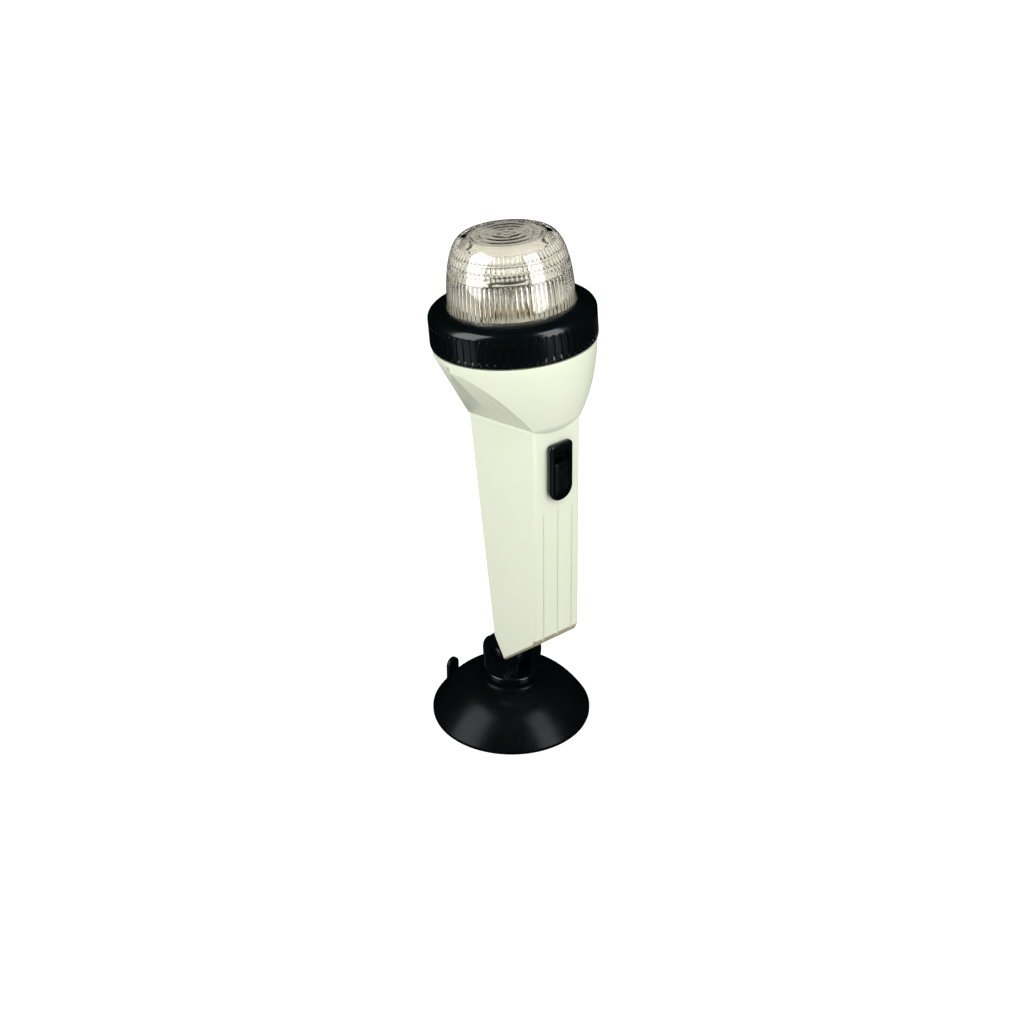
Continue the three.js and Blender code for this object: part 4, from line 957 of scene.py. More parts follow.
@dataclass
class HingeFork:
    """The fork over the cup, with the bolt and the nut in its ears."""

    base_height: float = 3.2
    base_radius: float = 12.8
    ear_radius: float = 9.8
    ear_inner: float = 4.4
    bolt_radius: float = 2.0
    bolt_head: float = 3.7
    bolt_head_height: float = 2.0
    nut_flats: float = 7.0
    nut_thickness: float = 2.8
    screw_seat: float = 3.7

    def build(self) -> None:
        """Makes and dresses the fork's pieces."""
        low = extent("fork", HINGE)[0]
        self.bottom = low.z
        self.floor = low.z + self.base_height
        self.ear_outer = self.ear_inner + 5.4
        black = Placing(HINGE, "fork", Slot.BLACK)
        steel = Placing(HINGE, "fork", Slot.BLUED)
        black.piece("fork_moulding", self.fork(), "fork")
        steel.piece("hinge_bolt", self.bolt(), "tilt_bolt")
        steel.piece("hinge_nut", self.nut(), "tilt_nut")

    def fork(self) -> bmesh.types.BMesh:
        """The base disc with its two ears, bored for the screw, the bolt and the nut.

        Returns:
            The solid, in its local frame.
        """
        base = turned(
            [
                (0, self.bottom),
                (self.base_radius - 0.4, self.bottom),
                (self.base_radius, self.bottom + 0.4),
                *arc((self.base_radius - 0.8, self.floor - 0.8), 0.8, 0, 90, 6),
                (0, self.floor),
            ],
            96,
        )
        reach = self.ear_outer + OVERRUN
        head_from = -self.ear_outer + self.bolt_head_height + 2 * FIT
        nut_from = self.ear_outer - 2 * FIT - self.nut_thickness
        return worked(
            base,
            [
                (Cut.JOIN, self.ear(-1)),
                (Cut.JOIN, self.ear(1)),
                (Cut.TAKE, bar(self.bolt_radius + FIT, -reach, reach, 40)),
                (Cut.TAKE, bar(self.bolt_head + FIT, -reach, head_from, 48)),
                (Cut.TAKE, bar(self.nut_radius() + 1.2 * FIT, nut_from, reach, 6)),
                (Cut.TAKE, turned([(0, self.floor + 9), *self.screw_hole(), (0, self.bottom - 9)], 40)),
            ],
        )

    def screw_hole(self) -> list[Point]:
        """The countersunk hole under the ears.

        Returns:
            The solid, in its local frame.
        """
        return [
            (self.screw_seat, self.floor + 9),
            (self.screw_seat, self.floor - 0.9),
            (self.bolt_radius, self.floor - 3),
            (self.bolt_radius, self.bottom - 9),
        ]

    def ear(self, side: int) -> bmesh.types.BMesh:
        """One ear, with a foot that spreads into the base and softened edges.

        Args:
            side: -1 for the left ear and 1 for the right one.

        Returns:
            The solid, in its local frame.
        """
        foot = math.sqrt(self.base_radius**2 - self.ear_outer**2) - FIT
        outline = [(-foot, self.bottom + FIT), (foot, self.bottom + FIT)]
        outline += arc((0, 0), self.ear_radius, 0, 180, 32)
        ends = (self.ear_inner, self.ear_outer)
        if side < 0:
            ends = (-self.ear_outer, -self.ear_inner)
        return softened(moved(prism(outline, *ends), SIDEWAYS), 0.7, 3, 40)

    def nut_radius(self) -> float:
        """The nut's radius over its corners."""
        return self.nut_flats / 2 / math.cos(math.pi / 6)

    def bolt(self) -> bmesh.types.BMesh:
        """The bolt, with a low domed head and a slot.

        Returns:
            The solid, in its local frame.
        """
        inner = -self.ear_outer + self.bolt_head_height + FIT
        outer = inner - self.bolt_head_height
        tip = self.ear_outer - FIT
        head = curve([(0, outer), (0.75 * self.bolt_head, outer), (self.bolt_head, outer + 1)], 8)
        profile = head + [
            (self.bolt_head, inner),
            (self.bolt_radius, inner),
            (self.bolt_radius, tip - 0.4),
            (self.bolt_radius - 0.4, tip),
            (0, tip),
        ]
        slot = box((outer - OVERRUN, outer + 0.9), (-5, 5), (-0.45, 0.45))
        return worked(moved(turned(profile, 48), ACROSS), [(Cut.TAKE, slot)])

    def nut(self) -> bmesh.types.BMesh:
        """The nut, its outer corners chamfered.

        Returns:
            The solid, in its local frame.
        """
        start = self.ear_outer - FIT - self.nut_thickness
        end = start + self.nut_thickness
        corner = self.nut_radius()
        chamfer = turned(
            [(0, start), (corner, start), (corner, end - 0.6), (corner - 0.7, end), (0, end)], 48
        )
        return worked(
            bar(corner, start, end, 6),
            [
                (Cut.KEEP, moved(chamfer, ACROSS)),
                (Cut.TAKE, bar(self.bolt_radius + FIT, start - OVERRUN, end + OVERRUN, 32)),
            ],
        )


@dataclass
class GripCase:
    """The ivory case: the slim grip, the flared head, the threaded neck and the hollow inside."""

    width: float = 26.0
    edge: float = 1.6
    foot_chamfer: float = 2.0
    wall: float = 2.0
    front_slope: float = math.radians(5.716)
    rear_slope: float = math.radians(2.11)
    foot_slope: float = math.radians(35.1)
    heel_slope: float = math.radians(29.44)
    heel_length: float = 12.8
    heel_reach: float = 10.4
    foot_room: float = 11.0
    switch_drop: float = 22.6
    crease_slope: float = math.radians(4.38)
    head_rise: float = 32.2
    head_bulge: float = 2.0
    side_slope: float = 0.7735
    band: float = 2.2
    neck_step: float = 3.6
    neck_wall: float = 2.4
    ledge_drop: float = 3.6
    ledge_width: float = 2.5
    thread_pitch: float = 3.0
    thread_depth: float = 0.8
    plate_width: float = 16.0
    plate_length: float = 8.4
    plate_thickness: float = 2.4
    plate_inset: float = 2.4
    groove_spacing: float = 8.2
    groove_width: float = 1.9
    groove_depth: float = 0.5
    groove_length: float = 52.5
    slot_width: float = 8.4
    slot_length: float = 16.4
    sides: int = 128

    def build(self) -> None:
        """Makes and dresses the case and the hinge lug."""
        self.measure()
        case = worked(
            self.grip(),
            [
                (Cut.JOIN, self.bulge()),
                (Cut.JOIN, self.loft(0, self.radius, self.shoulder - self.band, self.shoulder)),
                (Cut.JOIN, self.neck()),
                (Cut.TAKE, self.head_hollow()),
                (Cut.TAKE, self.grip_hollow()),
                (Cut.TAKE, self.throat()),
                (Cut.TAKE, self.lug_pocket()),
                (Cut.TAKE, moved(self.switch_slot(), self.wall_frame)),
                *[(Cut.TAKE, self.groove((i - 1) * self.groove_spacing)) for i in range(3)],
            ],
        )
        self.paint_foot_shade(Placing(LAMP, "case", Slot.IVORY).piece("case_moulding", case, "grip_case"))
        self.build_lug()

    def paint_foot_shade(self, case: bpy.types.Object) -> None:
        """Paints shade on the faces round the foot that look down: they take a darker ivory that stands in for the
        shade there.

        Args:
            case: the finished case.
        """
        slope = self.foot_slope
        down = LAMP.to_3x3().normalized() @ Vector((0, -math.sin(slope), -math.cos(slope)))
        tip = LAMP @ Vector((0, *self.tip))
        case.data.materials.append(FOOT_SHADE_PAINT.make("foot_painted_shade"))
        # Painted shade: faces that look down within reach of the foot's tip take the darker finish.
        for face in case.data.polygons:
            reach = (tip - face.center).dot(down) / MM
            if 0.3 < face.normal.dot(down) and reach < 1.2 * self.foot_chamfer:
                face.material_index = 1

    def measure(self) -> None:
        """Works out the case's outline from the frame: [back, height] points from the lamp axis."""
        high = extent("grip_case", LAMP)[1]
        self.wall_frame = LAMP.inverted() @ SWITCH
        front = self.wall_frame @ Vector((0, 0, 0))
        self.radius = high.x
        self.top = high.z
        hinge = LAMP.inverted() @ Vector(TILT["pos_m"])
        self.hinge_back = hinge.y
        corners = [LAMP.inverted() @ v.co for v in frame["nodes"]["grip_case"].data.vertices]
        lowest = min(point.z for point in corners) + 0.05
        tip = max((point for point in corners if point.z < lowest), key=lambda point: point.y)
        self.tip = (tip.y, tip.z)
        self.heel = (
            tip.y + self.heel_length * math.sin(self.heel_slope),
            tip.z + self.heel_length * math.cos(self.heel_slope),
        )
        self.front_line = (front.y, front.z)
        reach = (tip.y - front.y + (front.z - tip.z) * -math.tan(self.front_slope)) / (
            math.cos(self.foot_slope) - math.sin(self.foot_slope) * math.tan(self.front_slope)
        )
        self.toe = (
            tip.y - reach * math.cos(self.foot_slope),
            tip.z + reach * math.sin(self.foot_slope),
        )
        self.tray_level = self.toe[1] + self.foot_room
        crease = front.z + self.switch_drop
        self.crease_front = (self.front_wall(crease), crease)
        rear = crease - (self.rear_wall(crease) - self.crease_front[0]) * math.tan(self.crease_slope)
        self.crease_rear = (self.rear_wall(rear), rear)
        self.shoulder = crease + self.head_rise
        self.neck_radius = self.radius - self.neck_step
        self.bore = self.neck_radius - self.neck_wall
        self.ledge = self.top - self.ledge_drop
        self.outline = [self.toe, self.tip, self.heel, self.crease_rear, self.crease_front]
        self.heel_frame = Matrix.Translation((0, self.hinge_back, 0)) @ Matrix.Rotation(
            -self.heel_slope, 4, "X"
        )
        along_heel = self.tip[1] * math.cos(self.heel_slope)
        along_heel += (self.tip[0] - self.hinge_back) * math.sin(self.heel_slope)
        self.plate_bottom = along_heel + self.plate_inset
        self.plate_outer = -self.heel_reach - 0.1
        self.plate_inner = self.plate_outer - self.plate_thickness

    def front_wall(self, height: float) -> float:
        """How far back the front wall is at a height."""
        return self.front_line[0] - (height - self.front_line[1]) * math.tan(self.front_slope)

    def rear_wall(self, height: float) -> float:
        """How far back the rear wall is at a height."""
        return self.heel[0] + (height - self.heel[1]) * math.tan(self.rear_slope)

    def grip(self) -> bmesh.types.BMesh:
        """The grip's block, its long edges well rounded and the foot's front edge cut off.

        Returns:
            The solid, in its local frame.
        """
        half = self.width / 2
        solid = moved(prism(self.outline, -half, half), SIDEWAYS)
        foot = [
            edge
            for edge in solid.edges
            if all(math.hypot(v.co.y - self.toe[0], v.co.z - self.toe[1]) < 0.01 for v in edge.verts)
        ]
        bmesh.ops.bevel(solid, geom=foot, offset=self.foot_chamfer, segments=1, profile=0.5, affect="EDGES")
        sides = [edge for edge in solid.edges if all(abs(abs(v.co.x) - half) < 0.01 for v in edge.verts)]
        sides = [edge for edge in sides if edge.verts[0].co.x * edge.verts[1].co.x > 0]
        bmesh.ops.bevel(
            solid, geom=sides, offset=self.edge, segments=5, profile=0.5, affect="EDGES", clamp_overlap=True
        )
        return softened(solid, 0.35, 2, 24)

    def flare(self) -> list[Point]:
        """The head's bulging section.

        Returns:
            The section's points.
        """
        root = math.hypot(self.width / 2, self.crease_front[0])
        band = self.shoulder - self.band
        pull = ((root + self.radius) / 2 + self.head_bulge, (self.crease_front[1] + band) / 2)
        return curve([(root, self.crease_front[1]), pull, (self.radius, band)], 24)

    def bulge(self) -> bmesh.types.BMesh:
        """The front of the head: a turned flare between the two side wedges.

        Returns:
            The solid, in its local frame.
        """
        points = self.flare()
        tail = 8.0
        body = turned(
            [
                (0, points[0][1] - tail),
                (points[0][0] - tail, points[0][1] - tail),
                *points,
                (self.radius, self.shoulder),
                (0, self.shoulder),
            ],
            self.sides,
        )
        far = 2 * self.radius
        front = box((-far, far), (-far, 0), (0, self.shoulder + OVERRUN))
        return worked(body, [(Cut.KEEP, self.wedge()), (Cut.KEEP, front)])

    def wedge(self) -> bmesh.types.BMesh:
        """The room between the head's flat sides, which rise from the creases.

        Returns:
            The solid, in its local frame.
        """
        far = 1.3 * self.radius
        points = []
        for back in (-far, far):
            crease = self.crease_front[1] - (back - self.crease_front[0]) * math.tan(self.crease_slope)
            for height in (crease - 0.4 * self.width, self.shoulder + OVERRUN):
                x = self.width / 2 + self.side_slope * (height - crease)
                points += [(x, back, height), (-x, back, height)]
        return hull(points)

    def loft(self, wall: float, radius: float, bottom: float, top: float) -> bmesh.types.BMesh:
        """Straight walls from the creases' rectangle up to a circle, moved in by a wall.

        Args:
            wall: how far the lower outline is moved in.
            radius: the radius at the top.
            bottom: the height of the lower edge of the round.
            top: the height of its upper edge.

        Returns:
            The solid, in its local frame.
        """
        half = self.width / 2 - wall
        points = []
        for x in (-half, half):
            points.append((x, self.crease_front[0] + wall, self.crease_front[1]))
            points.append((x, self.crease_rear[0] - wall, self.crease_rear[1]))
        for i in range(self.sides):
            angle = TURN * i / self.sides
            for height in (bottom, top):
                points.append((radius * math.cos(angle), radius * math.sin(angle), height))
        return hull(points)

    def neck(self) -> bmesh.types.BMesh:
        """The neck with its thread cut into it.

        Returns:
            The solid, in its local frame.
        """
        collar = turned(
            [
                (0, self.shoulder - OVERRUN),
                (self.neck_radius, self.shoulder - OVERRUN),
                (self.neck_radius, self.top - 0.4),
                (self.neck_radius - 0.4, self.top),
                (0, self.top),
            ],
            self.sides,
        )
        start = self.shoulder + 2.3
        inner = self.neck_radius - self.thread_depth - 1.5 * FIT
        section = [(inner, -0.65), (self.radius, -1.35), (self.radius, 1.35), (inner, 0.65)]
        turns = (self.top - start) / self.thread_pitch + 1
        return worked(collar, [(Cut.TAKE, helix(section, (-0.05, turns), self.thread_pitch, start))])

    def head_hollow(self) -> bmesh.types.BMesh:
        """The hollow of the head, up to the ledge that the lamp's carrier rests on.

        Returns:
            The solid, in its local frame.
        """
        throat = self.bore - self.ledge_width
        cone = self.loft(self.wall, throat, self.shoulder - self.band, self.ledge)
        floor, mouth = self.ledge - 0.01, self.top + 5
        well = turned([(0, floor), (self.bore, floor), (self.bore, mouth), (0, mouth)], self.sides)
        return worked(cone, [(Cut.JOIN, well)])

    def grip_hollow(self) -> bmesh.types.BMesh:
        """The room for the cells.

        Returns:
            The solid, in its local frame.
        """
        half = self.width / 2 - self.wall
        low, top = self.tray_level, self.crease_front[1] + OVERRUN
        outline = [
            (self.front_wall(low) + self.wall, low),
            (self.rear_wall(low) - self.wall, low),
            (self.rear_wall(self.crease_rear[1]) - self.wall, self.crease_rear[1]),
            (self.crease_rear[0] - 2 * self.wall, top),
            (self.front_wall(top) + self.wall, top),
        ]
        return moved(prism(outline, -half, half), SIDEWAYS)

    def throat(self) -> bmesh.types.BMesh:
        """The opening between the cells' room and the head.

        Returns:
            The solid, in its local frame.
        """
        half = self.width / 2 - self.wall
        crease = self.crease_front[1]
        return box(
            (-half, half),
            (self.crease_front[0] + 2 * self.wall, self.crease_rear[0] - self.wall),
            (self.crease_rear[1] - 3 * self.wall, crease + 2 * self.wall),
        )

    def lug_pocket(self) -> bmesh.types.BMesh:
        """The recess in the heel that the lug's plate sits in.

        Returns:
            The solid, in its local frame.
        """
        half = self.plate_width / 2 + FIT
        ends = (self.plate_bottom - FIT, self.plate_bottom + self.plate_length + FIT)
        return moved(box((-half, half), (self.plate_inner - FIT, 0), ends), self.heel_frame)

    def switch_slot(self) -> bmesh.types.BMesh:
        """The hole for the switch's skirt, in the switch's frame.

        Returns:
            The solid, in its local frame.
        """
        half, end = self.slot_width / 2, self.slot_length / 2
        outline = rounded([(-half, -end), (half, -end), (half, end), (-half, end)], 1.2)
        return moved(prism(outline, -5, 5), FACEWISE)

    def groove(self, x: float) -> bmesh.types.BMesh:
        """One groove in the lower front wall, running out at its top and open at the foot.

        Args:
            x: its place across.

        Returns:
            The solid, in its local frame.
        """
        half, deep = self.groove_width / 2, self.groove_depth
        top = self.tray_level + self.groove_length
        points = []
        for height, rise in ((self.toe[1] - 6, 0), (top, 0), (top + 6, deep)):
            face = self.front_wall(height)
            points += [(x - half / 3, face + deep - rise, height), (x + half / 3, face + deep - rise, height)]
            points += [(x - half, face - 1, height), (x + half, face - 1, height)]
        return hull(points)

    def build_lug(self) -> None:
        """The hinge lug, screwed into the heel, and its two screws."""
        place = LAMP @ self.heel_frame
        radius, half = 8.5, 3.2
        foot = -self.heel_reach + FIT
        ends = (self.plate_bottom + 0.6, self.plate_bottom + self.plate_length - 0.6)
        disc = arc((0, 0), radius, 0, 352.5, 47)
        arm = softened(
            hull([(x, *p) for x in (-half, half) for p in disc + [(foot, ends[0]), (foot, ends[1])]]),
            0.5,
            2,
            50,
        )
        step = box((-half, half), (self.plate_outer - 0.5, foot + 0.6), ends)
        plate = box(
            (-self.plate_width / 2, self.plate_width / 2),
            (self.plate_inner, self.plate_outer),
            (self.plate_bottom, self.plate_bottom + self.plate_length),
        )
        middle = self.plate_bottom + self.plate_length / 2
        holes = [self.screw(side * 5.4, middle, FIT) for side in (-1, 1)]
        lug = worked(
            softened(plate, 0.5, 2),
            [
                (Cut.JOIN, step),
                (Cut.JOIN, arm),
                (Cut.TAKE, bar(2.3, -half - OVERRUN, half + OVERRUN, 40)),
                *[(Cut.TAKE, hole) for hole in holes],
            ],
        )
        Placing(place, "case", Slot.BLACK).piece("lug_moulding", lug, "hinge_lug")
        for side, node in ((-1, "lug_screw_left"), (1, "lug_screw_right")):
            x = side * 5.4
            face = self.plate_outer - FIT
            cross = [
                box((x - a, x + a), (face - 0.8, face + OVERRUN), (middle - b, middle + b))
                for a, b in ((1.3, 0.3), (0.3, 1.3))
            ]
            solid = worked(self.screw(x, middle, 0), [(Cut.TAKE, arm) for arm in cross])
            Placing(place, "case", Slot.BLUED).piece(f"{node}_cross", solid, node)

    def screw(self, x: float, z: float, margin: float) -> bmesh.types.BMesh:
        """A countersunk screw through the lug's plate, or with a margin its hole.

        Args:
            x: its place across.
            z: its place up the heel.
            margin: how much wider the solid is than the screw.

        Returns:
            The solid, in its local frame.
        """
        face = self.plate_outer - FIT + (OVERRUN if margin else 0)
        under = self.plate_outer - FIT - 1.4 - margin
        tip = self.plate_outer - FIT - 9 - margin
        profile = [
            (0, tip),
            (1.1 + margin, tip + 0.6),
            (1.1 + margin, under),
            (2 + margin, under + 1.2),
            (2 + margin, face),
            (0, face),
        ]
        solid = moved(turned(profile, 32), Matrix.Rotation(-math.pi / 2, 4, "X"))
        return moved(solid, Matrix.Translation((x, 0, z)))


@dataclass
class SlideSwitch:
    """The slide switch on the front wall: a bezel and the slider in its recess."""

    corner: float = 2.0
    pad_width: float = 8.0
    pad_length: float = 16.0
    pad_depth: float = 2.0
    travel: float = 5.0
    stem_width: float = 4.0
    stem_length: float = 7.0
    skirt_width: float = 7.8
    skirt_length: float = 15.8
    wall: float = 2.0
    ridges: int = 7

    def build(self) -> None:
        """Makes and dresses the switch's pieces."""
        low, high = extent("switch_bezel", SWITCH)
        self.half = high.x
        self.end = high.z
        self.proud = -low.y
        self.pad_bottom = -self.end + 3
        Placing(SWITCH, "case", Slot.BLACK).piece("bezel_moulding", self.bezel(), "switch_bezel")
        Placing(SWITCH, "slider", Slot.BLACK).piece("slider_moulding", self.slider(), "switch_slider")

    def bezel(self) -> bmesh.types.BMesh:
        """The bezel: square-shouldered at the top and round at the bottom, its edges softened, with its recess.

        Returns:
            The solid, in its local frame.
        """
        half, end = self.half, self.end
        outline = arc((half - self.corner, end - self.corner), self.corner, 0, 90, 8)
        outline += arc((-half + self.corner, end - self.corner), self.corner, 90, 180, 8)
        outline += arc((0, -end + half), half, 180, 360, 32)
        plate = softened(moved(prism(outline, -self.proud, -FIT), FACEWISE), 0.9, 4, 60)
        width, length = self.skirt_width / 2, self.skirt_length / 2
        skirt = rounded([(-width, -length), (width, -length), (width, length), (-width, length)], 1)
        recess = (self.pad_bottom - FIT, self.pad_bottom + self.pad_length + self.travel + FIT)
        low, high = -self.pad_width / 2 - FIT, self.pad_width / 2 + FIT
        corners = [(low, recess[0]), (high, recess[0]), (high, recess[1]), (low, recess[1])]
        well = prism(rounded(corners, 1.2), -self.proud - OVERRUN, -FIT - 0.7)
        stem = self.stem_width / 2 + FIT
        reach = (self.stem_length + self.travel) / 2 + FIT
        return worked(
            plate,
            [
                (Cut.JOIN, moved(prism(skirt, -FIT - 0.3, self.wall), FACEWISE)),
                (Cut.TAKE, moved(well, FACEWISE)),
                (Cut.TAKE, box((-stem, stem), (-self.proud, self.wall + OVERRUN), (-reach, reach))),
            ],
        )

    def slider(self) -> bmesh.types.BMesh:
        """The slider: a softened pad with finger ridges across its middle, on its stem.

        Returns:
            The solid, in its local frame.
        """
        outer = -self.proud - 0.4
        half = self.pad_width / 2
        top = self.pad_bottom + self.pad_length
        corners = [(-half, self.pad_bottom), (half, self.pad_bottom), (half, top), (-half, top)]
        pad = moved(prism(rounded(corners, 1.1), outer, outer + self.pad_depth), FACEWISE)
        middle = (self.pad_bottom + top) / 2
        stem_bottom = -(self.stem_length + self.travel) / 2
        stem = box(
            (-self.stem_width / 2, self.stem_width / 2),
            (outer + self.pad_depth - 0.2, self.wall + FIT + 2.2),
            (stem_bottom, stem_bottom + self.stem_length),
        )
        notches = []
        for i in range(self.ridges):
            z = middle + (i - (self.ridges - 1) / 2) * 1.5
            notches.append(
                moved(
                    turned([(0, -half - 2), (0.42, -half - 2), (0.42, half + 2), (0, half + 2)], 12),
                    Matrix.Translation((0, outer, z)) @ ACROSS,
                )
            )
        return worked(
            softened(pad, 0.45, 3, 60), [(Cut.JOIN, stem), *[(Cut.TAKE, notch) for notch in notches]]
        )


@dataclass
class ScrewRing:
    """The black ring that clamps the lens: ribbed round its wall, with a smooth round shoulder."""

    ribs: int = 64
    rib_depth: float = 0.5
    bottom_edge: float = 2.0
    shoulder: float = 5.5
    lip: float = 1.9
    thread_turns: float = 1.25
    per_rib: int = 10

    def build(self) -> None:
        """Makes and dresses the ring."""
        low, high = extent("screw_ring", LAMP)
        lens_high = extent("lens", LAMP)[1]
        self.bottom, self.top = low.z, high.z
        self.radius = high.x
        self.bore = lens_high.x + 0.5
        self.mouth = LENS_RADIUS + FIT
        wall_low = self.bottom + self.bottom_edge
        wall_high = self.top - self.shoulder
        profile = self.profile(wall_low, wall_high)
        gates = [self.gate(point, wall_low, wall_high) for point in profile]

        def ribbed(angle: float, number: int) -> float:
            """How deep the ring's wall is cut at an angle."""
            phase = math.cos(self.ribs * angle)
            return gates[number] * self.rib_depth * min(1.0, max(0.0, 2.6 * (phase - 0.42)))

        body = turned(profile, self.ribs * self.per_rib, ribbed)
        inner, outer = self.bore - 0.9, self.bore + 0.6
        section = [(inner, -0.35), (outer, -1.05), (outer, 1.05), (inner, 0.35)]
        ridge = helix(section, (0, self.thread_turns), 3.0, self.bottom + self.bottom_edge)
        solid = worked(body, [(Cut.JOIN, ridge)])
        Placing(LAMP, "ring", Slot.BLACK).piece("ring_moulding", solid, "screw_ring")

    def profile(self, wall_low: float, wall_high: float) -> list[Point]:
        """The ring's section, closing on itself.

        Args:
            wall_low: the bottom of the straight wall.
            wall_high: the top of the straight wall.

        Returns:
            The section's points.
        """
        edge = self.radius
        foot = curve([(edge - 1.2, self.bottom), (edge - 0.2, self.bottom + 0.3), (edge, wall_low)], 8)
        count = 14
        rise = wall_high - wall_low
        wall = [(edge, wall_low + rise * (i + 1) / (count + 1)) for i in range(count)]
        pulls = [(edge, wall_high), (edge, self.top - 1.2), (self.mouth + 1.6, self.top + 0.15)]
        shoulder = curve([*pulls, (self.mouth + 0.25, self.top - 0.35)], 20)
        inside = [
            (self.mouth, self.top - 0.7),
            (self.mouth, self.top - self.lip),
            (self.bore, self.top - self.lip),
            (self.bore, self.bottom),
        ]
        return foot + wall + shoulder + inside

    def gate(self, point: Point, low: float, high: float) -> float:
        """1 where the wall is ribbed, falling to 0 at both ends of the ribs.

        Args:
            point: a point of the section.
            low: the bottom of the ribbed wall.
            high: its top.

        Returns:
            How much the point is ribbed, from 0 to 1.
        """
        radius, height = point
        if radius < self.mouth + 4:
            return 0.0
        inward = min((height - low + 0.9) / 1.5, (high - height + 0.2) / 2.6)
        return max(0.0, min(1.0, inward))


@dataclass
class DomeLens:
    """The clear lens: a dome with ringed top, banded and fluted inside, on a flange."""

    wall: float = 2.2
    flange: float = 2.4
    top_radius: float = 18.2
    crown: float = 0.9
    rings: int = 5
    ring_depth: float = 0.28
    flutes: int = 72
    flute_depth: float = 0.6
    per_flute: int = 6
    bands: int = 3
    band_depth: float = 0.8

    def build(self) -> None:
        """Makes and dresses the lens and its gasket."""
        low, high = extent("lens", LAMP)
        self.bottom, self.top = low.z, high.z
        self.flange_radius = high.x
        self.base = extent("screw_ring", LAMP)[1].z
        outer = self.outer()
        inner = self.inner()
        profile = [point for point, _ in inner] + outer
        gates = [gate for _, gate in inner] + [0.0] * len(outer)

        def fluted(angle: float, number: int) -> float:
            """How far a flute stands in from the inner wall at an angle."""
            return gates[number] * self.flute_depth * abs(math.cos(self.flutes * angle / 2))

        solid = turned(profile, self.flutes * self.per_flute, fluted)
        moulding = Placing(LAMP, "lens", Slot.LENS).piece("lens_moulding", solid, "lens")
        moulding.visible_shadow = False
        WARDROBE.dress(frame["nodes"]["lens_gasket"], Slot.RUBBER)

    def side(self, radius: float, base: float, top_radius: float, top: float, steps: int) -> list[Point]:
        """The dome's side, from its base up to the edge of its top.

        Args:
            radius: the radius at the base.
            base: the height of the base.
            top_radius: the radius at the top.
            top: the height of the top.
            steps: how many stretches it has.

        Returns:
            The points from the base up.
        """
        return curve(
            [
                (radius, base),
                (radius, base + 0.48 * (top - base)),
                (0.9 * radius, top - 0.5),
                (top_radius, top),
            ],
            steps,
        )

    def outer(self) -> list[Point]:
        """The outside, from the flange's foot up over the dome to the axis.

        Returns:
            The section's points.
        """
        points = [
            (self.flange_radius, self.bottom),
            (self.flange_radius, self.bottom + self.flange),
            (LENS_RADIUS, self.bottom + self.flange),
        ]
        points += self.side(LENS_RADIUS, self.base, self.top_radius, self.top - self.crown, 36)
        pitch = self.top_radius / self.rings
        count = 8 * self.rings
        for i in range(1, count + 1):
            radius = self.top_radius * (1 - i / count)
            dip = self.ring_depth * abs(math.sin(math.pi * radius / pitch)) ** 1.4
            sag = self.crown * (radius / self.top_radius) ** 2
            points.append((radius if i < count else 0, self.top - dip - sag))
        return points

    def inner(self) -> list[tuple[Point, float]]:
        """The inside, from the axis down to the flange, each point with how much it is fluted.

        Returns:
            Each point with its share of the flutes, 0 or 1.
        """
        radius = LENS_RADIUS - self.wall
        top = self.top - self.wall
        wall = self.side(radius, self.base, self.top_radius - 1, top, 60)[::-1]
        points: list[tuple[Point, float]] = [((0, top), 0.0)]
        middle = self.base + 0.5 * (top - self.base)
        pitch = (top - 2 - middle) / self.bands
        for r, z in wall:
            share = ((z - middle) / pitch) % 1 if middle < z < top - 2 else 0.0
            fluted = 1.0 if z <= middle - 0.6 or (z > middle + 2.2 and 0.08 < share < 0.75) else 0.0
            points.append(((r - self.band_depth * share, z), fluted))
        points.append(((radius, self.bottom + 1), 0.0))
        points.append(((radius + 0.8, self.bottom), 0.0))
        return points


